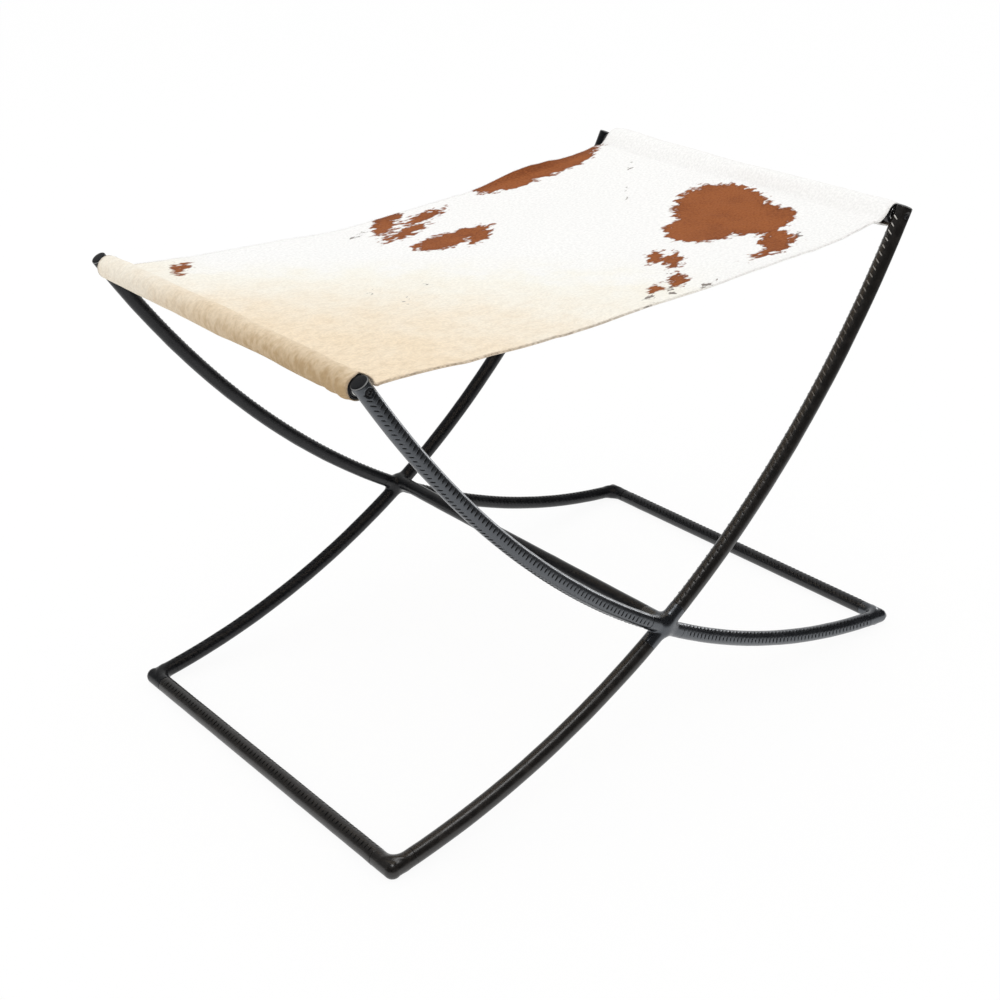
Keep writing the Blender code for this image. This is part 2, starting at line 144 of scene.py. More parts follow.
# Other materials: the colour, how much lighter or darker it is where rubbed, roughness, grain and relief
PLAIN_MATERIALS = {
    "plain_rod_steel": dict(base="steel", rub=0.7, rough=0.35, grain=700.0, relief=0.05, metallic=1.0),
    "rail_paint": dict(base="paint", rub=1.8, rough=0.30, grain=500.0, relief=0.06),
    "washer_steel": dict(base="bright", rub=0.75, rough=0.22, grain=900.0, relief=0.04, metallic=1.0),
    "screw_oxide": dict(base="oxide", rub=1.7, rough=0.30, grain=900.0, relief=0.05, metallic=0.6),
    # The raw edge's pale grey is partly the leather's cut edge and partly a painted highlight on the leg ends'
    # rounded rims
    "raw_leather_edge": dict(base="raw", rub=0.7, rough=0.55, grain=1500.0, relief=0.2),
    "dark_thread": dict(base="thread", rub=2.0, rough=0.60, grain=2600.0, relief=0.30, specular=0.15),
}
# Place and size of the lamps that no gloss shows and of those that only gloss shows, the strip's other
# side, and the height that the lamps aim at
SOFT_LAMPS = {
    "key": ((-1.5, -1.5, 2.6), 1.6),
    "back": ((0.6, 2.0, 2.3), 1.4),
    "top": ((-0.08, 0.14, 2.4), 0.85),
}
GLOSS_LAMPS = {
    "strip": ((-0.22, -0.40, 2.4), 1.0),
    "side": ((2.38, 0.46, 0.19), 0.35),
}
STRIP_DEPTH = 0.7
LAMP_AIM = 0.35

# Brown patches of the hide, as ovals: X, Y, half length, half width in millimetres, turn in degrees
BROWN_OVALS = (
    (228, -52, 66, 46, 45),
    (175, -82, 40, 36, 0),
    (225, -108, 42, 30, 10),
    (260, -38, 22, 44, 0),
    (194, -160, 30, 15, 38),
    (174, -173, 26, 6, 5),
    (209, -148, 12, 16, 0),
    (88, -107, 17, 7, 40),
    (92, -125, 19, 9, 42),
    (28, -170, 12, 6, 20),
    (58, -167, 17, 8, 45),
    (150, 187, 42, 24, 0),
    (215, 192, 62, 26, 0),
    (262, 197, 26, 14, 0),
    (-4, 190, 20, 13, 40),
    (-22, 172, 36, 11, 50),
    (20, 163, 30, 10, 14),
    (-22, 134, 33, 10, 18),
    (-18, 82, 32, 19, 12),
    (18, 89, 29, 12, -5),
    (21, 72, 24, 11, 40),
    (-264, 157, 17, 6, 60),
    (-256, 161, 13, 5, 50),
)
# How far the hide's rolled ends reach past the edges of its seat, in millimetres
ROLL_ENDS = {"near": {"left": 5.0, "right": 5.2}, "far": {"left": 5.5, "right": -6.0}}
# Dark grey flecks of the hide, in the same way as the patches
GREY_OVALS = (
    (9, -186, 20, 5, 42),
    (40, -178, 18, 5, 42),
    (66, -195, 14, 5, 20),
    (62, -158, 14, 5, 60),
    (-68, 161, 12, 4, 30),
    (-50, 167, 14, 4, 15),
    (-251, 165, 7, 5, 40),
    (-150, -45, 5, 1, 55),
    (-168, -11, 4, 1, 40),
    (-110, -17, 4, 1, 60),
    (222, -163, 8, 4, 50),
    (197, 49, 8, 1, 50),
    (294, -14, 8, 1, 40),
    (256, 107, 7, 1, 45),
)
# Waves of the hide's near and far edge: height, place along the hide and width, in millimetres
NEAR_WAVES = ((1.8, 20, 80), (-4.4, 238, 60), (-2.0, -285, 30))
FAR_WAVES = ((-4.0, -60, 75), (3.0, 285, 35))

# Seeds of the random draws
WRAP_SEED = 100
STITCH_SEED = 200
FRINGE_SEED = 29
# Cells along and across the hide, and the seed, of each of its slow random fields
RIPPLE_FIELD = ((13, 7), 11)
FINE_RIPPLE_FIELD = ((60, 26), 12)
CREASE_FIELD = ((3, 40), 13)
FOLD_FIELD = ((70, 44), 17)
TRIM_FIELD = ((30, 2), 19)
# How uneven the crease is, and how deep and how high the bunched folds go at most
CREASE_UNEVEN = 0.25
FOLD_LIMITS = (-1.2, 1.6)
# From where to where the hide goes over into its rolls and the left roll gets slim, from a rail's middle
ROLL_FROM, ROLL_FULL = -0.026, -0.010
SLIM_FROM, SLIM_FULL = -0.030, 0.016
# Border of the cream hair: a line along X, and a square curve of the distance from it that gives X;
# how far to both sides of it the fade goes, and where the left roll is half cream at least
CREAM_LINE = -0.15
CREAM_CURVE = (0.095, -0.35, -2.1)
CREAM_FADE = (-0.07, 0.42)
CREAM_ROLL = (0.20, 0.33)
# Where the tan starts and is full, along the hide and across it: tan hair on the left roll, darkening round it
# towards its underside as painted shade
TAN_ALONG = (0.301, 0.339)
TAN_ACROSS = (0.27, -0.21)
# From where to where, short of the cut edge, the rim and the curled lip are painted darker: the lip, and the
# rim on the white side, as painted shade
RIM_FROM, RIM_FULL = 0.003, 0.0002
LIP_FROM, LIP_FULL = 0.014, 0.007
# Parts of its half width between which a stitch's slit fades out
SLIT_FADE = (0.75, 1.2)
# Steps along a wrap, its bore, its slow unevenness and a joint's bars, and along and across the hide
ALONG_STEP = 0.0006
BORE_STEP = 0.012
WAVER_STEP = 0.014
LINE_STEP = 0.0006
HIDE_STEP_ALONG = 0.0026
HIDE_STEP_ACROSS = 0.0032
# Points round a wrap, a thread, a joint's rough tube, a turned piece and a rail, and over the hide's edge
AROUND = 64
THREAD_AROUND = 6
JOINT_AROUND = 24
TURNED_AROUND = 48
RAIL_AROUND = 56
EDGE_POINTS = 5
# A joint's voxels, how often its points are drawn in, the probe for its slope, how far its bars go past
# its cuts, and how deep into a corner the fillet has its full size
VOXEL = 0.0008
PULLS = 4
PROBE = 0.0002
ARM_SPARE = 0.006
FILLET_REACH = 0.006
# Points along a stitch, the spread of the stitches' lengths, how much of the slit's depth a stitch lies
# in, how many thread radii its ends dive, and the part of its radius that it loses there
STITCH_POINTS = 7
STITCH_SPREAD = 0.13
STITCH_LIES = 0.7
STITCH_DIVE = 1.6
STITCH_TAPER = 0.45
# Hairs along each cut edge of the hide, with the mean and the spread of their lean along the edge and
# of their lift, the range of their lengths and their droop as parts of the fringe, and how deep they root
FRINGE_HAIRS = 2600
FRINGE_LEAN = (0.35, 0.35)
FRINGE_LIFT = (-0.10, 0.12)
FRINGE_RANGE = (0.45, 1.25)
FRINGE_DROOP = 0.18
FRINGE_ROOT = 0.0004
# A hair's rings, as parts of its length and of its root's radius, and its sides
HAIR_RINGS = (0, 0.5, 1.0)
HAIR_TAPER = (1, 0.75, 0.12)
HAIR_SIDES = 3
# The hide's materials, in the order of its slots
HAIR_SIDE, FLESH_SIDE, CUT_EDGE = range(3)


def length(name, description, default):
    """A length in metres."""
    return bpy.props.FloatProperty(name=name, description=description, default=default,
                                   unit="LENGTH", precision=5)


def angle(name, description, degrees):
    """An angle, given in degrees and kept in radians."""
    return bpy.props.FloatProperty(name=name, description=description, default=math.radians(degrees),
                                   subtype="ANGLE")


def share(name, description, default):
    """A part of a whole, between 0 and 1."""
    return bpy.props.FloatProperty(name=name, description=description, default=default,
                                   subtype="FACTOR", min=0, max=1)


def colour(name, description, default):
    """A colour in linear light."""
    return bpy.props.FloatVectorProperty(name=name, description=description, default=default,
                                         subtype="COLOR", size=3, min=0, max=1)


def power(name, description, default):
    """A lamp's power in watts."""
    return bpy.props.FloatProperty(name=name, description=description, default=default, unit="POWER")


class FrameSizes(bpy.types.PropertyGroup):
    """Shape of the bars and of the leather on them"""

    leg_length: length("Leg length", "Along a leg, from its foot to its top", 0.806)
    foot_angle: angle("Foot angle", "Slope of a leg where it leaves the floor rail", 6.6)
    foot_radius: length("Foot radius", "Radius of a leg's curve at its foot", 0.713)
    top_radius: length("Top radius", "Radius of a leg's curve at its top", 1.090)
    wrap_radius: length("Wrap radius", "Radius over the leather", 0.0071)
    bore_radius: length("Bore radius", "Radius inside the leather", 0.0063)
    gap: length("Gap", "Between two pieces of leather", 0.00015)
    corner_lap: length("Corner lap", "How far a corner piece goes along each bar", 0.022)
    crossing_lap: length("Crossing lap", "How far a crossing piece goes past where the bars part", 0.010)
    corner_blend: length("Corner blend", "Size of the fillet inside a corner", 0.010)
    edge_round: length("Edge rounding", "On a leather edge", 0.00012)
    cap_thickness: length("Cap thickness", "Of the disc on a leg's end", 0.0012)
    head_clear: length("Head clearance", "Radius of the hole round a screw's head", 0.0039)
    screw_seat: length("Screw seat", "Of that hole's bottom under the inside of the leather", 0.0006)
    rail_flat: length("Rail flat", "Radius of the flat where a leg meets its rail", 0.013)


class StitchSizes(bpy.types.PropertyGroup):
    """Stitches and the way they draw the leather in"""

    pitch: length("Pitch", "From one stitch to the next", 0.0056)
    right_pitch: length("Right pitch", "From one stitch to the next on the right legs", 0.0074)
    reach: length("Stitch length", "Of one stitch over the leather", 0.0058)
    pale_reach: length("Pale stitch length", "Of one pale stitch on the right legs", 0.0078)
    thread: length("Thread radius", "Of the sewing thread", 0.00042)
    pale_thread: length("Pale thread radius", "Of the thick thread on the right legs", 0.00062)
    margin: length("Margin", "From a wrap's end to its first stitch", 0.006)
    press: share("Press", "How flat the leather lies between the rows", 0.18)
    furrow_depth: length("Furrow depth", "Under a row of stitches", 0.00010)
    furrow_width: length("Furrow width", "To each side of a row", 0.0014)
    slit_depth: length("Slit depth", "Drawn in under each stitch", 0.00024)
    slit_width: length("Slit width", "To each side of a stitch", 0.00068)
    waver: length("Waver", "Slow unevenness of the leather", 0.00006)


class HideSizes(bpy.types.PropertyGroup):
    """Shape of the slung hide and of its hair"""

    thickness: length("Thickness", "Of the hide with its hair", 0.0035)
    edge_share: share("Edge share", "Thickness left at the cut edges", 0.40)
    gap: length("Gap", "Between the hide and what it touches", 0.0003)
    seam_distance: length("Seam distance", "From a rail to the seam of its pocket", 0.018)
    seam_drop: length("Seam drop", "Of the seam under the rail", 0.002)
    sag: length("Sag", "Of the middle of the seat under the rails", 0.017)
    hem: length("Hem", "Left under the seat past the seam", 0.018)
    crease: length("Crease", "Depth of the seam's crease", 0.0014)
    lip_rise: length("Lip rise", "Of the far edge where it curls up", 0.007)
    lip_width: length("Lip width", "Of the strip that curls", 0.020)
    lip_middle: length("Lip middle", "Of the curl, along X", 0.185)
    lip_reach: length("Lip reach", "Of the curl to each side", 0.085)
    ripple: length("Ripple", "Slow unevenness of the seat", 0.0005)
    fine_ripple: length("Fine ripple", "Shorter unevenness of the seat", 0.000175)
    crease_width: length("Crease width", "To each side of a seam", 0.0032)
    left_crease: share("Left crease", "Part of the crease's depth that the left seam has", 0.3)
    top_spare: length("Top spare", "How far past a rail's middle the top of the hide counts", 0.002)
    edge_from: length("Edge from", "From the middle to where the edges' waves start", 0.05)
    climb_from: length("Climb from", "From the middle to where the right roll starts to climb", 0.02)
    far_climb: length("Far climb", "Of the right roll's far end", 0.0045)
    near_droop: length("Near droop", "Of the right roll's near end", 0.0012)
    roll_offset: length("Roll offset", "From a rail's middle to its roll's, along the hide", 0.010)
    roll_width: length("Roll width", "Of the right roll to each side", 0.022)
    pocket_width: length("Pocket width", "Of the left pocket's folds to each side", 0.024)
    bunch: length("Bunch", "Of the folds at the near left end", 0.0026)
    bunch_from: length("Bunch from", "From the near edge to where the folds start", 0.055)
    bunch_full: length("Bunch full", "From the near edge to where the folds are full", 0.006)
    trim: length("Trim", "Unevenness of the cut edges", 0.0003)
    edge_inset: length("Edge inset", "Of the cut edges from the solid's", 0.0010)
    edge_fade: length("Edge fade", "Over which the hide thins towards its edges", 0.006)
    fringe: length("Fringe", "Hair that stands out at the cut edges", 0.0007)
    hair: length("Hair radius", "Of a hair's root", 0.00010)
    slim: share("Slim", "Part of the thickness that the left roll has lost", 0.55)
    hem_inset: length("Hem inset", "Of the hems' ends from the seat's edges", 0.0070)
    flow: angle("Hair flow", "Direction that the hair lies in, from X towards Y", 4)


class HideColours(bpy.types.PropertyGroup):
    """Colours of the hide"""

    white: colour("White", "Hair of the far and right side", (0.905, 0.90, 0.885))
    ivory: colour("Ivory", "Hair between the white and the cream", (0.905, 0.885, 0.81))
    cream: colour("Cream", "Hair of the near left side", (0.865, 0.725, 0.54))
    # The tan is also painted shade where it darkens the left roll round towards its underside
    tan: colour("Tan", "Hair of the left roll and streaks in the cream", (0.45, 0.318, 0.178))
    brown: colour("Brown", "Hair of the patches", (0.345, 0.108, 0.033))
    dark_brown: colour("Dark brown", "Darker streaks of the patches", (0.200, 0.055, 0.017))
    grey: colour("Grey", "Single dark hairs", (0.22, 0.19, 0.17))
    # Rim: a faint painted shade line along the white side's cut edges, and full colour along the cream side's
    # edges
    rim: colour("Rim", "Hair at the edge of the cream side", (0.28, 0.21, 0.15))
    flesh: colour("Flesh side", "Suede underside", (0.60, 0.50, 0.39))
    cut: colour("Cut edge", "Raw edge of the white side", (0.95, 0.94, 0.92))
    cream_cut: colour("Cream cut edge", "Raw edge of the cream side", (0.64, 0.51, 0.37))


class LeatherColours(bpy.types.PropertyGroup):
    """Colours of the leather, the thread and the metal"""

    black: colour("Black", "Leather of the left legs and the floor rails", (0.0055, 0.0058, 0.0072))
    black_rub: colour("Black, rubbed", "Where that leather is rubbed", (0.0085, 0.0090, 0.0110))
    brown: colour("Brown black", "Leather of the right legs", (0.0075, 0.0060, 0.0050))
    brown_rub: colour("Brown black, rubbed", "Where that leather is rubbed", (0.0140, 0.0108, 0.0085))
    blue_gloss: colour("Blue gloss", "Tint of the gloss leather's shine", (0.86, 0.92, 1.0))
    thread: colour("Thread", "Dark thread", (0.0040, 0.0040, 0.0042))
    # Pale and dull thread: glints on the right legs' stitches painted into the thread's colour, as a painted
    # highlight
    pale_thread: colour("Pale thread", "Rubbed thread at the tops of the right legs", (0.62, 0.60, 0.56))
    dull_thread: colour("Dull thread", "The same thread lower down", (0.105, 0.092, 0.080))
    # Raw edge: the cut leather's own lighter edge, lightened further as a painted highlight on the rounded rim
    raw: colour("Raw edge", "Cut edge of the leather on the leg ends", (0.20, 0.20, 0.20))
    steel: colour("Steel", "Plain rod", (0.46, 0.45, 0.44))
    bright: colour("Bright steel", "Washers", (0.62, 0.62, 0.61))
    oxide: colour("Black oxide", "Screws", (0.035, 0.035, 0.038))
    paint: colour("Black paint", "Seat rails", (0.014, 0.014, 0.015))


class StageSettings(bpy.types.PropertyGroup):
    """Camera, floor and light"""

    camera_place: bpy.props.FloatVectorProperty(
        name="Camera place", description="Where the camera stands", size=3, subtype="TRANSLATION",
        unit="LENGTH", default=(-0.95121, -1.19078, 0.92687), precision=5)
    azimuth: angle("Azimuth", "Camera round the bench", -37.9511)
    elevation: angle("Elevation", "Camera above the floor", 26.1706)
    roll: angle("Roll", "Camera about its own axis", -2.3616)
    lens: bpy.props.FloatProperty(name="Lens", description="Focal length in millimetres", default=60.718)
    floor_size: length("Floor size", "Side of the floor", 14.0)
    floor_shade: share("Floor shade", "Part of the floor that takes shadow", 0.08)
    floor_colour: colour("Floor colour", "Pale floor", (0.95, 0.95, 0.95))
    ambient: bpy.props.FloatProperty(name="Ambient", description="Even light from all round", default=0.99)
    studio_dark: share("Studio dark", "How bright the room above and in front looks in gloss", 0.03)
    key: power("Key lamp", "Soft lamp, high on the left", 6)
    back: power("Back lamp", "Soft lamp, high behind", 5)
    top: power("Top lamp", "Soft lamp overhead", 3)
    strip: power("Strip lamp", "Strip overhead that shows only in gloss", 15)
    side: power("Side lamp", "Small lamp low on the right that shows only in gloss", 2)
    glow_near: length("Glow near", "How far the floor in front looks white in gloss", 0.45)
    glow_far: length("Glow far", "Where the floor in front looks dark in gloss", 1.35)


# Meshes

def grid_quads(rings, around, rings_closed=False, around_closed=True):
    """Quads between neighbours of a grid of points, ring after ring."""
    row = np.arange(rings if rings_closed else rings - 1)[:, None]
    column = np.arange(around if around_closed else around - 1)[None, :]
    next_row = (row + 1) % rings * around
    next_column = (column + 1) % around
    corners = (row * around + column, row * around + next_column, next_row + next_column, next_row + column)
    return np.stack(corners, axis=-1).reshape(-1, 4)


def facing_out(points, faces):
    """The faces, turned round if together they hold a negative volume."""
    corners = points[faces[:, :3]]
    volume = np.einsum("ij,ij->", corners[:, 0], np.cross(corners[:, 1], corners[:, 2]))
    if faces.shape[1] == 4:
        corners = points[faces[:, [0, 2, 3]]]
        volume += np.einsum("ij,ij->", corners[:, 0], np.cross(corners[:, 1], corners[:, 2]))
    return faces if volume > 0 else faces[:, ::-1]


def new_mesh(name, points, faces):
    """A smooth-shaded mesh of these points and lists of faces."""
    mesh = bpy.data.meshes.new(name)
    mesh.from_pydata(points.reshape(-1, 3).tolist(), [], faces)
    mesh.shade_smooth()
    return mesh


def add_piece(name, mesh, material, replaced=()):
    """Puts a piece into the scene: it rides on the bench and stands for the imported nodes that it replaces."""
    piece = bpy.data.objects.new(name, mesh)
    bpy.context.scene.collection.objects.link(piece)
    if not mesh.materials:
        mesh.materials.append(material)
    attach(piece, "root")
    if replaced:
        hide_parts(*replaced)
    return piece


def add_closed_piece(name, points, material, replaced=()):
    """A piece whose grid of points closes both ways, as a tube with a bore does."""
    rings, around = points.shape[:2]
    flat = points.reshape(-1, 3)
    faces = facing_out(flat, grid_quads(rings, around, rings_closed=True))
    return add_piece(name, new_mesh(name, flat, faces.tolist()), material, replaced)


def lathe_points(profile, origin, axis, across, sides, hexes=None):
    """Rings of a turned shape: radius and height of the profile, carried round the axis.

    Where hexes holds a share above 0 a ring goes over from a circle to a hexagon across flats.
    """
    profile = np.asarray(profile, float)
    axis, across = np.asarray(axis, float), np.asarray(across, float)
    beside = np.cross(axis, across)
    turn = np.linspace(0, 2 * math.pi, sides, endpoint=False)
    hexagon = 1 / np.cos((turn + math.pi / 6) % (math.pi / 3) - math.pi / 6)
    share_hex = np.zeros(len(profile)) if hexes is None else np.asarray(hexes, float)
    radius = profile[:, :1] * (1 + share_hex[:, None] * (hexagon - 1)[None, :])
    spoke = np.cos(turn)[:, None] * across + np.sin(turn)[:, None] * beside
    return np.asarray(origin) + radius[..., None] * spoke + profile[:, 1][:, None, None] * axis


def add_turned_piece(name, points, material, replaced=()):
    """A turned piece whose first and last ring are closed by a flat face each."""
    rings, around = points.shape[:2]
    flat = points.reshape(-1, 3)
    quads = grid_quads(rings, around)
    first = list(range(around))[::-1]
    last = list(range((rings - 1) * around, rings * around))
    turned = facing_out(flat - flat.mean(axis=0), quads)
    if turned is not quads:
        first, last = first[::-1], last[::-1]
    return add_piece(name, new_mesh(name, flat, turned.tolist() + [first, last]), material, replaced)


def slow_field(rows, columns, cells, seed):
    """Smooth random heights: a coarse lattice of seeded draws, blended with raised-cosine weights."""
    lattice = np.random.default_rng(seed).standard_normal(cells)

    def weights(count, cell_count):
        place = np.linspace(0, cell_count - 1, count)[:, None] - np.arange(cell_count)[None, :]
        return (1 + np.cos(math.pi * np.clip(place, -1, 1))) / 2

    return weights(rows, cells[0]) @ lattice @ weights(columns, cells[1]).T


def bell(value, width):
    """1 at zero, falling off smoothly over the width."""
    return np.exp(-(value / width) ** 2)


def smooth_step(low, high, value):
    """0 below low and 1 above high, with a smooth climb between."""
    climb = np.clip((value - low) / (high - low), 0, 1)
    return climb * climb * (3 - 2 * climb)


# Lines that the bars follow

def leg_table(sizes):
    """Length along a leg, run towards its top, height and slope.

    The slope grows with length at a rate that goes evenly from one over the foot's radius to one over
    the top's radius; run and height are the sums of its cosine and sine.
    """
    along = np.linspace(0, sizes.leg_length + 0.01, 4001)
    change = (1 / sizes.top_radius - 1 / sizes.foot_radius) / sizes.leg_length
    slope = sizes.foot_angle + along / sizes.foot_radius + change * along**2 / 2
    step = along[1]

    def total(rate):
        return np.concatenate([[0], np.cumsum((rate[1:] + rate[:-1]) / 2 * step)])

    return along, total(np.cos(slope)), total(np.sin(slope)), slope


def leg_line(sizes, side, end):
    """A function of length that gives a leg's centre, its outward and its upper direction."""
    along, run, rise, slope = leg_table(sizes)
    foot = -end

    def line(s):
        angles = np.interp(s, along, slope)
        none = np.zeros_like(angles)
        x = foot * (FOOT_X - np.interp(s, along, run))
        centre = np.stack([x, none + side * SIDE_Y, FLOOR_AXIS + np.interp(s, along, rise)], axis=-1)
        outward = np.stack([none, none + side, none], axis=-1)
        upper = np.stack([foot * np.sin(angles), none, np.cos(angles)], axis=-1)
        return centre, outward, upper

    return line


def straight_line(x, z, outward_x):
    """The same for a bar along Y: length is the Y coordinate."""
    def line(s):
        none = np.zeros_like(s)
        centre = np.stack([none + x, s, none + z], axis=-1)
        outward = np.stack([none + outward_x, none, none], axis=-1)
        upper = np.stack([none, none, none + 1], axis=-1)
        return centre, outward, upper

    return line


def crossing_length(sizes):
    """Length along a leg at which it crosses the other one, and its slope there."""
    along, run, _, slope = leg_table(sizes)
    place = float(np.interp(FOOT_X, run, along))
    return place, float(np.interp(place, along, slope))


def crossing_reach(sizes):
    """How far a crossing piece goes along each leg: to where the bars part, and a lap more."""
    _, slope = crossing_length(sizes)
    return sizes.wrap_radius / math.sin(slope) + sizes.crossing_lap


def bar_spans(sizes):
    """Name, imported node, line and both ends of each wrapped stretch of bar."""
    place, _ = crossing_length(sizes)
    patch = crossing_reach(sizes) + sizes.gap
    spans = []
    for side_name, side in SIDES.items():
        for end_name, end in ENDS.items():
            line = leg_line(sizes, side, end)
            name = f"{side_name}_{end_name}"
            lower = (sizes.corner_lap + sizes.gap, place - patch)
            upper = (place + patch, sizes.leg_length)
            spans.append((f"{name}_lower", f"{name}_leg_lower_wrap", line, *lower))
            spans.append((f"{name}_upper", f"{name}_leg_upper_wrap", line, *upper))
    for end_name, end in ENDS.items():
        line = straight_line(end * FOOT_X, FLOOR_AXIS, end)
        spans.append((f"{end_name}_floor", f"{end_name}_floor_wrap", line, -FLOOR_WRAP_END, FLOOR_WRAP_END))
    line = straight_line(0, STRETCHER_Z, -1)
    spans.append(("stretcher", "stretcher_wrap", line, -STRETCHER_END, STRETCHER_END))
    return spans


# Leather on the bars

def bar_radius(name, sizes):
    """Radius over the leather of the bar that this wrap is on."""
    return sizes.wrap_radius + sum(more for bar, more in THICKER.items() if name.startswith(bar)) / 1000


def row_turns(name, along, start, stop):
    """Angle of each of a wrap's two stitch rows at these lengths: an even twist from start to stop."""
    angles = np.radians(STITCH_ROWS[name])
    part = (along - start) / (stop - start)
    return angles[0] + (angles[1] - angles[0]) * part, angles[2] + (angles[3] - angles[2]) * part


def on_right_leg(name):
    """Whether a wrap is on one of the right legs."""
    return "right_" in name and "floor" not in name


def stitch_pitch(name, stitches):
    """From one stitch of a wrap to the next."""
    return stitches.right_pitch if on_right_leg(name) else stitches.pitch


def row_slants(name):
    """Slants of both rows of a wrap, in radians."""
    kind = "right" if on_right_leg(name) else "left"
    return [math.radians(degrees) for degrees in ROW_SLANTS[kind]]


def about_zero(turn):
    """The angle, brought between minus and plus half a turn."""
    return (turn + math.pi) % (2 * math.pi) - math.pi


def leather_height(name, along, turn, start, stop, sizes, stitches, seed):
    """Height of the leather over its round bar, along it and round it.

    Between its rows the leather lies part of the way to the flat chord. A shallow bell-shaped furrow
    runs under each row, each stitch draws a slanted slit into it, and a slow seeded field makes the
    rest uneven.
    """
    rows = row_turns(name, along, start, stop)
    radius = bar_radius(name, sizes)
    half = (np.abs(rows[1] - rows[0]) / 2)[:, None]
    off = np.clip(about_zero(turn[None, :] - ((rows[0] + rows[1]) / 2)[:, None]), -half, half)
    height = -stitches.press * radius * (1 - np.cos(half) / np.cos(off))
    pitch = stitch_pitch(name, stitches)
    inside = (along > start + stitches.margin - pitch / 2) & (along < stop - stitches.margin + pitch / 2)
    for row, slant in zip(rows, row_slants(name)):
        across = about_zero(turn[None, :] - row[:, None]) * radius
        place = (along - start - stitches.margin)[:, None] - across / math.tan(slant)
        from_stitch = pitch * (place / pitch - np.round(place / pitch))
        width = stitches.reach / 2 * math.sin(slant)
        past = smooth_step(*(part * width for part in SLIT_FADE), np.abs(across))
        slit = bell(from_stitch, stitches.slit_width) * (1 - past)
        height -= stitches.furrow_depth * bell(across, stitches.furrow_width)
        height -= stitches.slit_depth * slit * inside[:, None]
    cells = (max(int(len(along) * ALONG_STEP / WAVER_STEP), 3), 6)
    field = slow_field(len(along), len(turn) + 1, cells, seed)
    blend = np.linspace(0, 1, len(turn) + 1)[None, :]
    field = field * (1 - blend) + field[:, :1] * blend
    return height + stitches.waver * field[:, :-1]


def wrap_points(name, line, start, stop, sizes, stitches, seed):
    """A leather tube: rings along the outside, and back along the bore."""
    outer = np.linspace(start, stop, int((stop - start) / ALONG_STEP))
    turn = np.linspace(0, 2 * math.pi, AROUND, endpoint=False)
    radius = bar_radius(name, sizes) + leather_height(name, outer, turn, start, stop, sizes, stitches, seed)
    to_end = np.minimum(outer - start, stop - outer)
    radius -= sizes.edge_round * np.clip(1 - to_end / sizes.edge_round, 0, 1)[:, None] ** 2
    inner = np.linspace(stop, start, max(int((stop - start) / BORE_STEP), 2))
    lengths = np.concatenate([outer, inner])
    radius = np.concatenate([radius, np.full((len(inner), AROUND), sizes.bore_radius)])
    return ring_points(line, lengths, radius, turn)


def ring_points(line, lengths, radius, turn):
    """Points at a radius round the line: cosine of the turn outward, sine of it to the upper side."""
    centre, outward, upper = line(lengths)
    turn = turn[None, :, None]
    spoke = np.cos(turn) * outward[:, None, :] + np.sin(turn) * upper[:, None, :]
    return centre[:, None, :] + radius[..., None] * spoke


def sink_screw_hole(points, side, end, sizes):
    """Presses the leather in round a screw's head, down to the rod, and flat where it meets the rail."""
    away = np.hypot(points[..., 0] - end * RAIL_X, points[..., 2] - RAIL_Z)
    depth = points[..., 1] * side - SIDE_Y
    seat = sizes.bore_radius - sizes.screw_seat
    soft_in, soft_out = 0.0003, 0.0004
    inside = 1 - smooth_step(sizes.head_clear - soft_in, sizes.head_clear + soft_out, away)
    sunk = np.where(depth > seat, depth + (seat - depth) * inside, depth)
    sunk = np.where(away < sizes.rail_flat, np.maximum(sunk, -sizes.wrap_radius), sunk)
    points[..., 1] = side * (SIDE_Y + sunk)


def stitch_points(name, index, line, start, stop, sizes, stitches, seed):
    """Every stitch of one row: a thin tube that lies in its slit and dives into the leather at its ends.

    Along a stitch the thread sinks with the fourth power of the way from its middle.
    """
    draws = np.random.default_rng(seed)
    pitch = stitch_pitch(name, stitches)
    slant = row_slants(name)[index]
    count = int((stop - start - 2 * stitches.margin) / pitch) + 1
    middle_s = start + stitches.margin + pitch * np.arange(count)
    reach_over = stitches.pale_reach if name in PALE_STITCHES else stitches.reach
    half = reach_over / 2 * (1 + STITCH_SPREAD * draws.standard_normal(count))
    way = np.linspace(-1, 1, STITCH_POINTS)
    s = middle_s[:, None] + (half * math.cos(slant))[:, None] * way
    row = row_turns(name, s, start, stop)[index]
    radius = bar_radius(name, sizes)
    thread = stitches.pale_thread if name in PALE_STITCHES else stitches.thread
    turn = row + (half * math.sin(slant))[:, None] * way / radius
    sunk = stitches.slit_depth * STITCH_LIES + STITCH_DIVE * thread * way**4
    centre, outward, upper = line(s)
    spoke = np.cos(turn)[..., None] * outward + np.sin(turn)[..., None] * upper
    path = centre + (radius - sunk)[None, :, None] * spoke
    ahead = np.gradient(path, axis=1)
    ahead /= np.linalg.norm(ahead, axis=-1, keepdims=True)
    beside = np.cross(ahead, spoke)
    beside /= np.linalg.norm(beside, axis=-1, keepdims=True)
    above = np.cross(beside, ahead)
    ring = np.linspace(0, 2 * math.pi, THREAD_AROUND, endpoint=False)[:, None]
    thin = (thread * (1 - STITCH_TAPER * way**4))[None, :, None, None]
    around = np.cos(ring) * beside[:, :, None, :] + np.sin(ring) * above[:, :, None, :]
    return path[:, :, None, :] + thin * around


def many_tubes(points):
    """Points and faces of many short closed tubes, from an array by tube, ring and place round it."""
    count, rings, around = points.shape[:3]
    quads = grid_quads(rings, around)
    ends = np.stack([np.arange(around)[::-1], np.arange(around) + (rings - 1) * around])
    one = points[0].reshape(-1, 3)
    if facing_out(one - one.mean(axis=0), quads) is not quads:
        quads, ends = quads[:, ::-1], ends[:, ::-1]
    shift = (np.arange(count) * rings * around)[:, None, None]
    faces = (quads[None] + shift).reshape(-1, 4).tolist() + (ends[None] + shift).reshape(-1, around).tolist()
    return points.reshape(-1, 3), faces


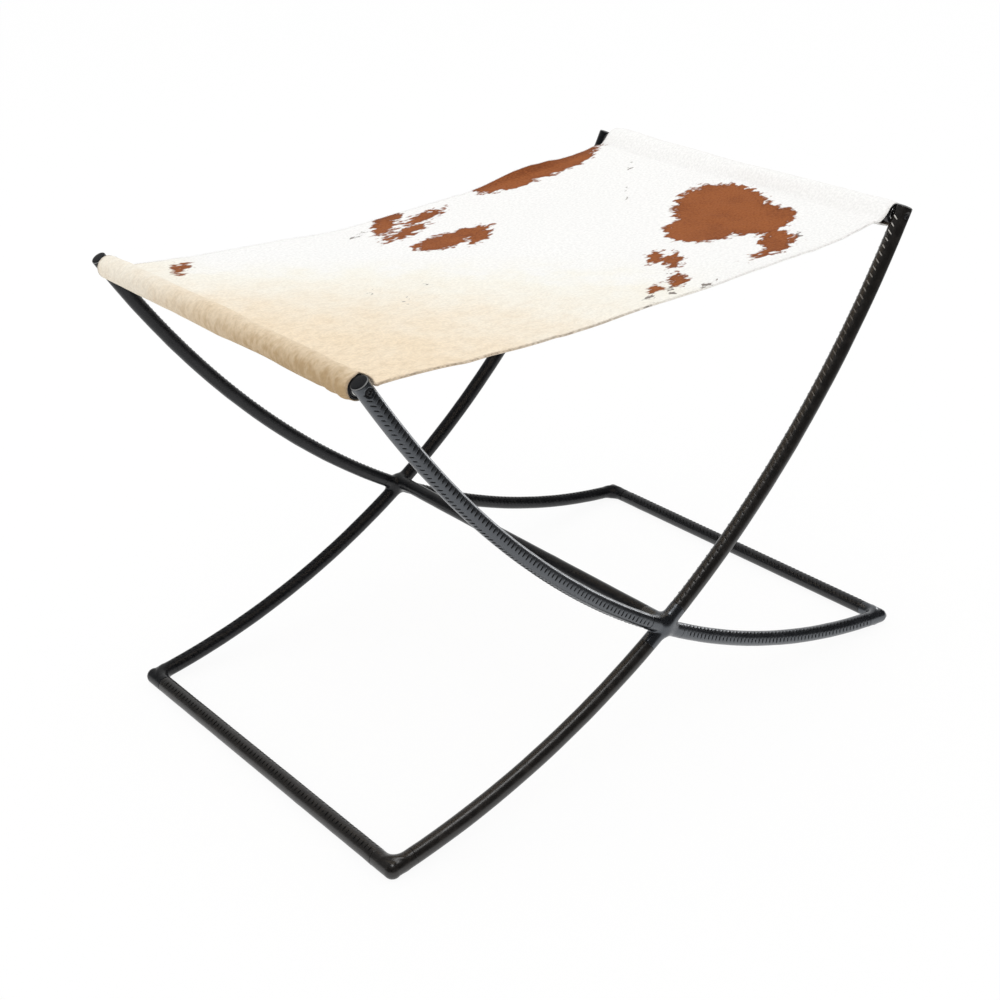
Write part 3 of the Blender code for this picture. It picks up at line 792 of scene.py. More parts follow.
# Leather where bars meet

def line_distance(points, line_points):
    """Distance of each point from the nearest of a line's dense points."""
    square = ((points[:, None, :] - line_points[None, :, :]) ** 2).sum(axis=-1)
    return np.sqrt(square.min(axis=1))


def blended_height(points, lines, radii, blend_at):
    """Height over bars that melt together: a smooth minimum of the heights over each of them.

    Where two heights differ by less than the blend, the lower one is lowered more, by a quarter of the
    blend times the square of how close they are.
    """
    heights = [line_distance(points, line) - radius for line, radius in zip(lines, radii)]
    blend = blend_at(points)
    merged = heights[0]
    for other in heights[1:]:
        close = np.maximum(blend - np.abs(merged - other), 0) / blend
        merged = np.minimum(merged, other) - close**2 * blend / 4
    return merged


def rough_tube(centre, radius):
    """A round tube over a bar's dense points, which goes on past them by most of its radius."""
    first, last = centre[0] - centre[1], centre[-1] - centre[-2]
    spare = 0.9 * radius / np.linalg.norm(first)
    line = np.concatenate([[centre[0] + spare * first], centre, [centre[-1] + spare * last]])
    ahead = np.gradient(line, axis=0)
    ahead /= np.linalg.norm(ahead, axis=1, keepdims=True)
    along_y = np.abs(ahead[:, 1]) > 0.5
    beside = np.cross(ahead, np.where(along_y[:, None], [[1.0, 0, 0]], [[0, 1.0, 0]]))
    beside /= np.linalg.norm(beside, axis=1, keepdims=True)
    above = np.cross(ahead, beside)
    turn = np.linspace(0, 2 * math.pi, JOINT_AROUND, endpoint=False)[None, :, None]
    return line[:, None] + radius * (np.cos(turn) * beside[:, None] + np.sin(turn) * above[:, None])


def melted_bars(name, lines, radii, blend_at, planes):
    """Leather over bars that meet: tubes joined by a voxel remesh, drawn onto the blended surface.

    Each point goes along the slope of the blended height until the height is nothing. The arms are
    then cut square at the planes.
    """
    tubes = [many_tubes(rough_tube(centre, radius)[None]) for centre, radius in zip(lines, radii)]
    starts = np.cumsum([0] + [len(points) for points, _ in tubes]).tolist()
    faces = [[corner + start for corner in face]
             for (_, found), start in zip(tubes, starts) for face in found]
    rough = new_mesh(name, np.concatenate([points for points, _ in tubes]), faces)
    helper = bpy.data.objects.new(name, rough)
    bpy.context.scene.collection.objects.link(helper)
    remesh = helper.modifiers.new("Join", "REMESH")
    remesh.mode = "VOXEL"
    remesh.voxel_size = VOXEL
    graph = bpy.context.evaluated_depsgraph_get()
    mesh = bpy.data.meshes.new_from_object(helper.evaluated_get(graph))
    bpy.data.objects.remove(helper)
    points = np.empty(len(mesh.vertices) * 3)
    mesh.vertices.foreach_get("co", points)
    points = points.reshape(-1, 3)
    least_steepness = 0.25
    for _ in range(PULLS):
        height = blended_height(points, lines, radii, blend_at)
        slope = np.stack([(blended_height(points + step, lines, radii, blend_at) - height) / PROBE
                          for step in np.eye(3) * PROBE], axis=1)
        steepness = np.maximum((slope**2).sum(axis=1, keepdims=True), least_steepness)
        points = points - height[:, None] * slope / steepness
    points[:, 2] = np.maximum(points[:, 2], 0)
    mesh.vertices.foreach_set("co", points.ravel())
    skin = bmesh.new()
    skin.from_mesh(mesh)
    bmesh.ops.recalc_face_normals(skin, faces=skin.faces)
    for place, normal in planes:
        everything = skin.verts[:] + skin.edges[:] + skin.faces[:]
        bmesh.ops.bisect_plane(skin, geom=everything, dist=1e-6, plane_co=place, plane_no=normal,
                               clear_outer=True)
    skin.to_mesh(mesh)
    skin.free()
    mesh.name = name
    mesh.shade_smooth()
    return mesh


def dense(line, start, stop):
    """Points of a bar's centreline, close together."""
    return line(np.linspace(start, stop, int(abs(stop - start) / LINE_STEP) + 2))[0]


def along_direction(line, s):
    """Direction of a bar at a length along it."""
    step = 1e-4
    ends = line(np.array([s - step, s + step]))[0]
    return (ends[1] - ends[0]) / np.linalg.norm(ends[1] - ends[0])


def end_plane(line, s, way):
    """Where a leather arm ends, and the direction past it."""
    return tuple(line_point(line, s)), tuple(way * along_direction(line, s))


def fork_blend(height, blends):
    """Blend of a crossing: each fork's own size, weighed by the square of how far a point lies into it."""
    right, left, upper, lower = blends

    def blend_at(points):
        across, above = points[:, 0], points[:, 2] - height
        forks = (right * np.maximum(across, 0) ** 2 + left * np.minimum(across, 0) ** 2
                 + upper * np.maximum(above, 0) ** 2 + lower * np.minimum(above, 0) ** 2)
        soft = FORK_SOFTNESS**2
        return (forks + FACE_BLEND * soft) / (across**2 + above**2 + soft)

    return blend_at


def inner_blend(corner, inward, size):
    """Blend of a corner: its full size inside the corner, and next to nothing on its outside."""
    outside = 1e-4

    def blend_at(points):
        return outside + size * smooth_step(0, FILLET_REACH, (points - corner) @ inward)

    return blend_at


def line_point(line, s):
    """Centre of a bar at one length."""
    return line(np.array([s]))[0][0]


def crossing_skin(name, side_name, sizes):
    """Leather over one side's crossing, with the stretcher's end in its upper fork."""
    side = SIDES[side_name]
    place, _ = crossing_length(sizes)
    far = crossing_reach(sizes)
    stretcher = straight_line(0, STRETCHER_Z, -1)
    stop = side * (STRETCHER_END + sizes.gap)
    lines, radii, planes = [], [], []
    for end_name, end in ENDS.items():
        leg = leg_line(sizes, side, end)
        lines.append(dense(leg, place - far - ARM_SPARE, place + far + ARM_SPARE))
        radii.append(bar_radius(f"{side_name}_{end_name}", sizes))
        planes += [end_plane(leg, place + far, 1), end_plane(leg, place - far, -1)]
    lines.append(dense(stretcher, side * SIDE_Y, stop - side * ARM_SPARE))
    radii.append(bar_radius("stretcher", sizes))
    planes.append(end_plane(stretcher, stop, -side))
    _, _, height = line_point(leg_line(sizes, side, 1), place)
    blend_at = fork_blend(height, FORK_BLENDS[side_name])
    return melted_bars(name, lines, radii, blend_at, planes)


def corner_skin(name, side_name, end_name, sizes):
    """Leather round the corner of a floor rail and a leg's foot."""
    side, end = SIDES[side_name], ENDS[end_name]
    top_name = "left" if end_name == "right" else "right"
    radii = [bar_radius(f"{side_name}_{top_name}", sizes), bar_radius(f"{end_name}_floor", sizes)]
    leg = leg_line(sizes, side, -end)
    rail = straight_line(end * FOOT_X, FLOOR_AXIS, end)
    stop = side * (SIDE_Y - sizes.corner_lap)
    lines = [dense(leg, 0, sizes.corner_lap + ARM_SPARE), dense(rail, side * SIDE_Y, stop - side * ARM_SPARE)]
    planes = [end_plane(leg, sizes.corner_lap, 1), end_plane(rail, stop, -side)]
    inward = np.array([-end, -side, 0]) / math.sqrt(2)
    blend_at = inner_blend(np.array([end * FOOT_X, side * SIDE_Y, FLOOR_AXIS]), inward, sizes.corner_blend)
    return melted_bars(name, lines, radii, blend_at, planes)


# Hide

def hide_half_line(sizes):
    """Middle line of the right half of the hide, from the middle of the seat out round the rail and back.

    A shallow parabola to the seam, a straight climb to the rail, an arc round it, a straight way back
    under the seam and a hem that follows the parabola one thickness lower.
    """
    seam_x = RAIL_X - sizes.seam_distance
    centre = np.array([RAIL_X, RAIL_Z])
    radius = RAIL_RADIUS + sizes.gap + sizes.thickness / 2
    fold = sizes.thickness + sizes.gap

    def seat(x):
        return RAIL_Z - sizes.sag + (sizes.sag - sizes.seam_drop) * (x / seam_x) ** 2

    def touching(point, way):
        away = point - centre
        return math.atan2(away[1], away[0]) % (2 * math.pi) + way * math.acos(radius / np.hypot(*away))

    seat_x = np.linspace(0, seam_x, 200)
    first = touching(np.array([seam_x, seat(seam_x)]), -1)
    last = touching(np.array([seam_x, seat(seam_x) - fold]), 1) - 2 * math.pi
    turn = np.linspace(first, last, 80)
    arc = centre + radius * np.stack([np.cos(turn), np.sin(turn)], axis=1)
    hem_x = seam_x - np.linspace(0, sizes.hem, 12)
    hem = np.stack([hem_x, seat(hem_x) - fold], axis=1)
    return np.concatenate([np.stack([seat_x, seat(seat_x)], axis=1), arc, hem])


def hide_line(sizes):
    """The whole middle line at even steps: length from the middle, points and upward normals.

    The joined halves are resampled and then smoothed over a few steps, so that no fold is sharp.
    """
    half = hide_half_line(sizes)
    line = np.concatenate([half[:0:-1] * (-1, 1), half])
    travel = np.concatenate([[0], np.cumsum(np.linalg.norm(np.diff(line, axis=0), axis=1))])
    even = np.linspace(0, travel[-1], int(travel[-1] / HIDE_STEP_ALONG))
    points = np.stack([np.interp(even, travel, line[:, k]) for k in range(2)], axis=1)
    kernel = np.array([1, 3, 4, 3, 1]) / 12
    padded = np.concatenate([points[:1], points[:1], points, points[-1:], points[-1:]])
    smooth = np.stack([np.convolve(padded[:, k], kernel, "valid") for k in range(2)], axis=1)
    smooth[[0, 1, -2, -1]] = points[[0, 1, -2, -1]]
    ahead = np.gradient(smooth, axis=0)
    ahead /= np.linalg.norm(ahead, axis=1, keepdims=True)
    return even - travel[-1] / 2, smooth, np.stack([-ahead[:, 1], ahead[:, 0]], axis=1)


def over_rails(u, sizes):
    """Whether each length along the hide lies on the seat or over the rails, and not on the way back."""
    return np.abs(u) < RAIL_X + sizes.top_spare


def sum_of_bells(u, waves):
    """Sum of bells along the hide, each with its height, place and width in millimetres."""
    return sum(height / 1000 * bell(u - place / 1000, width / 1000) for height, place, width in waves)


def hide_waves(u, v, sizes):
    """Height of the middle surface over the plain sling, along the hide and across it.

    Slow ripples, a crease at each seam, bells by which the near and the far edge dip and lift as in the
    photograph, a right roll that climbs to its far end, and folds bunched up where the left pocket
    meets the near leg.
    """
    shape = (len(u), len(v))
    seam_x = RAIL_X - sizes.seam_distance
    on_top = over_rails(u, sizes)
    height = sizes.ripple * slow_field(*shape, *RIPPLE_FIELD)
    height += sizes.fine_ripple * slow_field(*shape, *FINE_RIPPLE_FIELD)
    creases = bell(np.abs(u) - seam_x, sizes.crease_width) * on_top * np.where(u < 0, sizes.left_crease, 1.0)
    uneven = 1 + CREASE_UNEVEN * slow_field(*shape, *CREASE_FIELD)
    height -= sizes.crease * creases[:, None] * uneven
    near = smooth_step(-sizes.edge_from, -HIDE_HALF, v)
    height += (sum_of_bells(u, NEAR_WAVES) * on_top)[:, None] * near
    far = smooth_step(sizes.edge_from, HIDE_HALF, v)
    seat = smooth_step(RAIL_X + 2 * sizes.top_spare, seam_x, np.abs(u))
    height += (seat * sum_of_bells(u, FAR_WAVES))[:, None] * far
    roll_middle = RAIL_X + sizes.roll_offset
    right_roll = bell(u - roll_middle, sizes.roll_width)
    climb = sizes.far_climb * smooth_step(sizes.climb_from, HIDE_HALF, v)
    droop = sizes.near_droop * smooth_step(sizes.climb_from, HIDE_HALF, -v)
    height += right_roll[:, None] * (climb - droop)
    left_pocket = bell(u + roll_middle, sizes.pocket_width)
    near_end = smooth_step(sizes.bunch_from - HIDE_HALF, sizes.bunch_full - HIDE_HALF, v)
    folds = np.clip(slow_field(*shape, *FOLD_FIELD), *FOLD_LIMITS)
    return height + sizes.bunch * left_pocket[:, None] * near_end * folds


def clear_of_rails(points, spare):
    """The points, with those nearer to a rail's surface than the spare moved straight out from its axis."""
    away = points.copy()
    away[..., 0] -= np.sign(points[..., 0]) * RAIL_X
    away[..., 1] = 0
    away[..., 2] -= RAIL_Z
    distance = np.linalg.norm(away, axis=-1, keepdims=True)
    return points + away * np.maximum((RAIL_RADIUS + spare) / distance - 1, 0)


def hide_reach(u, sizes):
    """How far the hide reaches to its near and to its far side at each length, as two columns.

    The rolls on the rails reach past the seat's edges, the hems end short of them, and a slow seeded
    field makes both edges uneven.
    """
    pocket = smooth_step(RAIL_X + ROLL_FROM, RAIL_X + ROLL_FULL, np.abs(u))
    hem = smooth_step(u[-1] - 2 * sizes.hem, u[-1] - 4 / 3 * sizes.hem, np.abs(u))
    ends = []
    for rolls in ROLL_ENDS.values():
        spare = np.where(u < 0, rolls["left"], rolls["right"]) / 1000
        ends.append(spare * pocket - (spare + sizes.hem_inset) * hem)
    trim = sizes.trim * slow_field(len(u), 2, *TRIM_FIELD)
    return HIDE_HALF - sizes.edge_inset + np.stack(ends, axis=1) + trim


def hide_places(sizes):
    """Both faces of the hide with the rows of rounded edge between them: a closed loop for each length.

    The faces lie half a thickness to both sides of the waved middle surface, which curls up at the far
    edge by a raised cosine. The left roll has lost a part of its thickness on the hair side, and
    neither face comes nearer to a rail than its spare. Returns the points, the length along and the
    place across the hide of each point, and the number of points across one face.
    """
    u, line, normal = hide_line(sizes)
    v = np.linspace(-HIDE_HALF, HIDE_HALF, int(2 * HIDE_HALF / HIDE_STEP_ACROSS))
    window = np.clip(np.abs(line[:, 0] - sizes.lip_middle) / sizes.lip_reach, 0, 1)
    curl = sizes.lip_rise * (1 + np.cos(math.pi * window)) / 2 * over_rails(u, sizes)
    strip = np.clip((v - HIDE_HALF + sizes.lip_width) / sizes.lip_width, 0, 1) ** 2
    lift = hide_waves(u, v, sizes) + curl[:, None] * strip
    thinned = 1 - (1 - sizes.edge_share) * bell(HIDE_HALF - np.abs(v), sizes.edge_fade)
    half = sizes.thickness / 2 * thinned[None, :]
    slim = sizes.slim * smooth_step(RAIL_X + SLIM_FROM, RAIL_X + SLIM_FULL, -u)[:, None]
    lift = lift - half * slim
    half = half * (1 - slim)
    along = np.insert(line, 1, 0, axis=1)[:, None, :]
    up = np.insert(normal, 1, 0, axis=1)[:, None, :]
    core = along + lift[..., None] * up
    reaches = hide_reach(u, sizes)
    core[..., 1] = v / HIDE_HALF * np.where(v < 0, reaches[:, :1], reaches[:, 1:])
    top = clear_of_rails(core + half[..., None] * up, 3 * sizes.gap)
    under = clear_of_rails(core - half[..., None] * up, sizes.gap / 2)
    middles, ways = (top + under) / 2, (top - under) / 2
    turn = np.linspace(0, math.pi, EDGE_POINTS + 2)[1:-1, None]
    out = half[:, :1, None] * np.sin(turn) * np.array([0, 1.0, 0])
    far_edge = middles[:, -1:] + np.cos(turn) * ways[:, -1:] + out
    near_edge = middles[:, :1] - np.cos(turn) * ways[:, :1] - out
    points = np.concatenate([top, far_edge, under[:, ::-1], near_edge], axis=1)
    edge_v = np.full(EDGE_POINTS, HIDE_HALF)
    across = np.concatenate([v, edge_v, v[::-1], -edge_v])
    return points, u, across, len(v)


def oval_depth(x, y, ovals):
    """How deep a place lies inside a union of ovals, in metres, negative outside."""
    deepest = np.full(np.broadcast(x, y).shape, -1.0)
    for oval in np.array(ovals, float):
        middle_x, middle_y, long, wide = oval[:4] / 1000
        turn = math.radians(oval[4])
        away_x, away_y = x - middle_x, y - middle_y
        ahead = away_x * math.cos(turn) + away_y * math.sin(turn)
        beside = away_y * math.cos(turn) - away_x * math.sin(turn)
        deepest = np.maximum(deepest, (1 - np.hypot(ahead / long, beside / wide)) * min(long, wide))
    return deepest


def cream_share(x, y):
    """Where the hair goes over from white to cream: past a curved border, over a long fade."""
    from_line = y - CREAM_LINE
    start, lean, bend = CREAM_CURVE
    border = start + lean * from_line + bend * from_line**2
    on_roll = 0.5 * smooth_step(*CREAM_ROLL, -x)
    return np.maximum(smooth_step(*CREAM_FADE, border - x), on_roll)


def tan_and_shade_share(x, y):
    """Where the cream hair is painted darkest: on the left roll, darker round it towards its underside as
    painted shade, and most at its near end.
    """
    return smooth_step(*TAN_ALONG, -x) * smooth_step(*TAN_ACROSS, y)


def paint_hide(mesh, u, v):
    """Stores the hide's own coordinates and its patches on the mesh, for the hair's colours."""
    # The lip's mask marks where painted shade darkens the curled far edge
    lip = smooth_step(HIDE_HALF - LIP_FROM, HIDE_HALF - LIP_FULL, v)
    values = {"brown": oval_depth(u, v, BROWN_OVALS), "grey": oval_depth(u, v, GREY_OVALS),
              "cream": cream_share(u, v), "tan": tan_and_shade_share(u, v),
              "rim": smooth_step(HIDE_HALF - RIM_FROM, HIDE_HALF - RIM_FULL, np.abs(v)),
              "lip": lip * (np.abs(u) < RAIL_X)}
    for name, value in values.items():
        mesh.attributes.new(name, "FLOAT", "POINT").data.foreach_set("value", value.ravel())
    add_map(mesh, "hide", u, v)


def add_map(mesh, name, across, upward):
    """Adds a UV map from the two coordinates of every vertex."""
    corners = np.empty(len(mesh.loops), int)
    mesh.loops.foreach_get("vertex_index", corners)
    places = np.stack([across.ravel(), upward.ravel()], axis=-1)[corners]
    mesh.uv_layers.new(name=name).data.foreach_set("uv", places.ravel())


def hide_mesh(points, u, across, count, materials):
    """The hide as one closed body: hair side, flesh side and cut edges."""
    rings, around = points.shape[:2]
    flat = points.reshape(-1, 3)
    quads = facing_out(flat, grid_quads(rings, around))
    under_first, under_last = count + EDGE_POINTS, 2 * count + EDGE_POINTS - 1
    above = np.arange(count)
    below = under_last - above
    end = np.stack([above[:-1], above[1:], below[1:], below[:-1]], axis=1).tolist()
    end.append([*range(under_last + 1, around), 0, under_last])
    end.append([*range(count - 1, under_first + 1)])
    last_ring = (rings - 1) * around
    caps = [face[::-1] for face in end] + [[corner + last_ring for corner in face] for face in end]
    if quads[0, 0] != 0:
        caps = [face[::-1] for face in caps]
    mesh = new_mesh("seat_hide_hair_side", flat, quads.tolist() + caps)
    columns = quads % around
    low, high = columns.min(axis=1), columns.max(axis=1)
    haired_edge = (EDGE_POINTS + 1) // 2
    closing = (low == 0) & (high == around - 1)
    on_hair = (high < count + haired_edge) | (low >= around - haired_edge) | closing
    on_flesh = (low >= under_first) & (high <= under_last)
    kind = np.where(on_hair, HAIR_SIDE, np.where(on_flesh, FLESH_SIDE, CUT_EDGE))
    kind = np.concatenate([kind, np.full(len(caps), CUT_EDGE)])
    for material in materials:
        mesh.materials.append(material)
    mesh.polygons.foreach_set("material_index", kind.astype(np.int32))
    paint_hide(mesh, np.repeat(u[:, None], around, axis=1), np.repeat(across[None, :], rings, axis=0))
    return mesh


def hair_mesh(name, roots, aims, lengths, droop, radius, u, v):
    """Many hairs: thin tapered spikes, each bent down by the square of the way along it."""
    way = np.array(HAIR_RINGS)
    path = roots[:, None, :] + aims[:, None, :] * (lengths[:, None] * way)[..., None]
    path[..., 2] -= droop[:, None] * way**2
    beside = np.cross(aims, [0.0, 0, 1.0])
    beside /= np.maximum(np.linalg.norm(beside, axis=1, keepdims=True), 1e-6)
    above = np.cross(beside, aims)
    ring = np.linspace(0, 2 * math.pi, HAIR_SIDES, endpoint=False)[:, None]
    spokes = np.cos(ring) * beside[:, None, :] + np.sin(ring) * above[:, None, :]
    thin = radius * np.array(HAIR_TAPER)[:, None, None]
    points, faces = many_tubes(path[:, :, None, :] + thin * spokes[:, None, :, :])
    mesh = new_mesh(name, points, faces)
    corners = len(HAIR_RINGS) * HAIR_SIDES
    paint_hide(mesh, np.repeat(u, corners), np.repeat(v, corners))
    lay_out_hairs(mesh, len(roots), np.arange(corners))
    return mesh


def lay_out_hairs(mesh, count, corner):
    """A map with a cell of its own for each hair: along it to the right, round it upwards."""
    row = math.ceil(math.sqrt(count))
    hair = np.arange(count)[:, None]
    margin, step = 0.2, 0.3
    across = (hair % row + margin + step * (corner // HAIR_SIDES)) / row
    upward = (hair // row + margin + step * (corner % HAIR_SIDES)) / row
    add_map(mesh, "OFBake", across, upward)


def fringe_hairs(sizes, points, u, count):
    """Roots, directions, lengths and droop of the hair along both cut edges, and its places on the hide."""
    draws = np.random.default_rng(FRINGE_SEED)
    hems = int((u[-1] - RAIL_X + 2 * sizes.top_spare) / HIDE_STEP_ALONG)
    found = []
    for side, column in ((-1, 0), (1, count - 1)):
        place = draws.uniform(hems, len(u) - 1.001 - hems, FRINGE_HAIRS)
        row = place.astype(int)
        part = (place - row)[:, None]
        here, ahead = points[row, column], points[row + 1, column]
        root = here * (1 - part) + ahead * part
        ahead = ahead - here
        ahead /= np.linalg.norm(ahead, axis=1, keepdims=True)
        up = np.cross([0.0, 1, 0], ahead)
        lean = draws.normal(*FRINGE_LEAN, FRINGE_HAIRS)[:, None]
        lift = draws.normal(*FRINGE_LIFT, FRINGE_HAIRS)[:, None]
        aim = side * np.array([[0, 1.0, 0]]) + lean * ahead + lift * up
        aim /= np.linalg.norm(aim, axis=1, keepdims=True)
        long = sizes.fringe * draws.uniform(*FRINGE_RANGE, FRINGE_HAIRS)
        edge = np.full(FRINGE_HAIRS, side * HIDE_HALF)
        found.append((root - FRINGE_ROOT * up, aim, long, FRINGE_DROOP * long, u[row], edge))
    return [np.concatenate(parts) for parts in zip(*found)]


# Materials

def add_node(tree, kind, inputs=None, **settings):
    """A new node with its settings; an input given as a socket is linked to it, any other is its value."""
    node = tree.nodes.new(kind)
    for key, value in settings.items():
        setattr(node, key, value)
    for key, value in (inputs or {}).items():
        if isinstance(value, bpy.types.NodeSocket):
            tree.links.new(value, node.inputs[key])
        else:
            node.inputs[key].default_value = value
    return node


def math_node(tree, operation, first, second=0.0):
    """The result of a sum, product or other step of arithmetic."""
    return add_node(tree, "ShaderNodeMath", {0: first, 1: second}, operation=operation).outputs[0]


def ramp_node(tree, value, low, high, to_low=0.0, to_high=1.0):
    """A smooth climb from one value to another."""
    inputs = {"Value": value, "From Min": low, "From Max": high, "To Min": to_low, "To Max": to_high}
    return add_node(tree, "ShaderNodeMapRange", inputs, interpolation_type="SMOOTHSTEP").outputs[0]


def mix_node(tree, factor, first, second, blend="MIX"):
    """A colour between two others, or the first blended with the second."""
    inputs = {0: factor, 6: first, 7: second}
    return add_node(tree, "ShaderNodeMix", inputs, data_type="RGBA", blend_type=blend).outputs[2]


def vector_node(tree, operation, first, second):
    """A step of arithmetic with two vectors."""
    return add_node(tree, "ShaderNodeVectorMath", {0: first, 1: second}, operation=operation).outputs[0]


def attribute_node(tree, name):
    """A value that the mesh holds for each of its points."""
    return add_node(tree, "ShaderNodeAttribute", attribute_name=name).outputs["Fac"]


def noise_node(tree, vector, scale, detail=3.0, roughness=0.55):
    """Cloudy noise around one half."""
    inputs = {"Vector": vector, "Scale": scale, "Detail": detail, "Roughness": roughness}
    return add_node(tree, "ShaderNodeTexNoise", inputs).outputs[0]


def rgba(value):
    """The colour as a socket takes it."""
    return (*value, 1.0)


def new_group(name, inputs, outputs):
    """A shader node group with float inputs and outputs; returns the tree and its two end nodes."""
    group = bpy.data.node_groups.new(name, "ShaderNodeTree")
    for socket, default in inputs.items():
        found = group.interface.new_socket(socket, in_out="INPUT", socket_type="NodeSocketFloat")
        found.default_value = default
    for socket in outputs:
        group.interface.new_socket(socket, in_out="OUTPUT", socket_type="NodeSocketFloat")
    return group, group.nodes.new("NodeGroupInput"), group.nodes.new("NodeGroupOutput")


def grain_group():
    """Fine pebbled grain with slow blotches, from Object coordinates."""
    if "grain" in bpy.data.node_groups:
        return bpy.data.node_groups["grain"]
    inputs = {"Grain scale": 1400.0, "Blotch scale": 45.0}
    group, start, stop = new_group("grain", inputs, ("Height", "Blotch"))
    place = add_node(group, "ShaderNodeTexCoord").outputs["Object"]
    cells = add_node(group, "ShaderNodeTexVoronoi", {"Vector": place, "Scale": start.outputs["Grain scale"]},
                     feature="SMOOTH_F1")
    fine = noise_node(group, place, start.outputs["Grain scale"], 2.0)
    height = math_node(group, "ADD", cells.outputs["Distance"], math_node(group, "MULTIPLY", fine, 0.6))
    blotch = noise_node(group, place, start.outputs["Blotch scale"], 4.0, 0.6)
    group.links.new(height, stop.inputs["Height"])
    group.links.new(blotch, stop.inputs["Blotch"])
    return group


def hair_group():
    """Streaks of lying hair, from the hide's own coordinates turned into the direction of its flow."""
    if "lying hair" in bpy.data.node_groups:
        return bpy.data.node_groups["lying hair"]
    outputs = ("Locks", "Hairs", "Drift", "Mottle")
    group, start, stop = new_group("lying hair", {"Flow": math.radians(36)}, outputs)
    place = add_node(group, "ShaderNodeUVMap", uv_map="hide").outputs[0]
    back = math_node(group, "MULTIPLY", start.outputs["Flow"], -1.0)
    inputs = {"Vector": place, "Angle": back}
    turned = add_node(group, "ShaderNodeVectorRotate", inputs, rotation_type="Z_AXIS")
    sway = math_node(group, "SUBTRACT", noise_node(group, place, 7.0, 1.0), 0.5)
    sway = add_node(group, "ShaderNodeCombineXYZ", {1: math_node(group, "MULTIPLY", sway, 0.05)}).outputs[0]
    swayed = vector_node(group, "ADD", turned.outputs[0], sway)
    locks_at = vector_node(group, "MULTIPLY", swayed, (90.0, 150.0, 1.0))
    hairs_at = vector_node(group, "MULTIPLY", swayed, (210.0, 1500.0, 1.0))
    group.links.new(noise_node(group, locks_at, 1.0, 2.0), stop.inputs["Locks"])
    group.links.new(noise_node(group, hairs_at, 1.0, 3.0), stop.inputs["Hairs"])
    group.links.new(noise_node(group, place, 24.0, 3.0), stop.inputs["Drift"])
    group.links.new(noise_node(group, swayed, 380.0, 2.0), stop.inputs["Mottle"])
    return group


def new_material(name):
    """A new material with its tree and its Principled shader."""
    material = bpy.data.materials.new(name)
    material.use_nodes = True
    tree = material.node_tree
    return material, tree, tree.nodes["Principled BSDF"]


def finish_surface(tree, shader, base, rough, height, strength, distance):
    """Links the colour, roughness and relief of a surface to its shader."""
    bump = add_node(tree, "ShaderNodeBump", {"Height": height, "Strength": strength, "Distance": distance})
    tree.links.new(base, shader.inputs["Base Color"])
    tree.links.new(rough, shader.inputs["Roughness"])
    tree.links.new(bump.outputs[0], shader.inputs["Normal"])


def grained_material(name, base, rubbed, rough, grain, relief, metallic=0.0, specular=0.5, ior=1.5,
                     tint=(1.0, 1.0, 1.0)):
    """Leather, thread, paint or metal: a base colour rubbed to another in blotches, with a fine grain."""
    material, tree, shader = new_material(name)
    effect = add_node(tree, "ShaderNodeGroup", node_tree=grain_group())
    effect.inputs["Grain scale"].default_value = grain
    effect.inputs["Blotch scale"].default_value = 120.0
    settings = {"Metallic": metallic, "Specular IOR Level": specular, "IOR": ior, "Specular Tint": rgba(tint)}
    for socket, value in settings.items():
        shader.inputs[socket].default_value = value
    blotch = ramp_node(tree, effect.outputs["Blotch"], 0.40, 0.72)
    pits = ramp_node(tree, effect.outputs["Height"], 0.35, 0.95, -0.015, 0.015)
    mixed = mix_node(tree, blotch, rgba(base), rgba(rubbed))
    tone = math_node(tree, "ADD", math_node(tree, "MULTIPLY", blotch, 0.08), rough)
    tone = math_node(tree, "ADD", tone, pits)
    finish_surface(tree, shader, mixed, tone, effect.outputs["Height"], relief, 0.0003)
    return material


def plain_material(name):
    """A material from the table of plain ones, built the first time that it is asked for."""
    if name in bpy.data.materials:
        return bpy.data.materials[name]
    settings = dict(PLAIN_MATERIALS[name])
    base = getattr(bpy.context.scene.bench_leather_colours, settings.pop("base"))
    return grained_material(name, base, darker(base, settings.pop("rub")), **settings)


def leather_for(name):
    """The leather of a wrap or a joint: blue-black and gloss, plain or dull black, or brown-black; gloss and
    dull are lit and shaded copies of the black, as painted light and shade.
    """
    kind = next(kind for start, kind in LEATHERS.items() if name.startswith(start))
    material = f"{kind}_bar_leather"
    if material in bpy.data.materials:
        return bpy.data.materials[material]
    colours = bpy.context.scene.bench_leather_colours
    settings = dict(LEATHER_KINDS[kind], grain=LEATHER_GRAIN)
    base = settings.pop("base")
    if "tint" in settings:
        settings["tint"] = getattr(colours, settings["tint"])
    return grained_material(material, getattr(colours, base), getattr(colours, f"{base}_rub"), **settings)


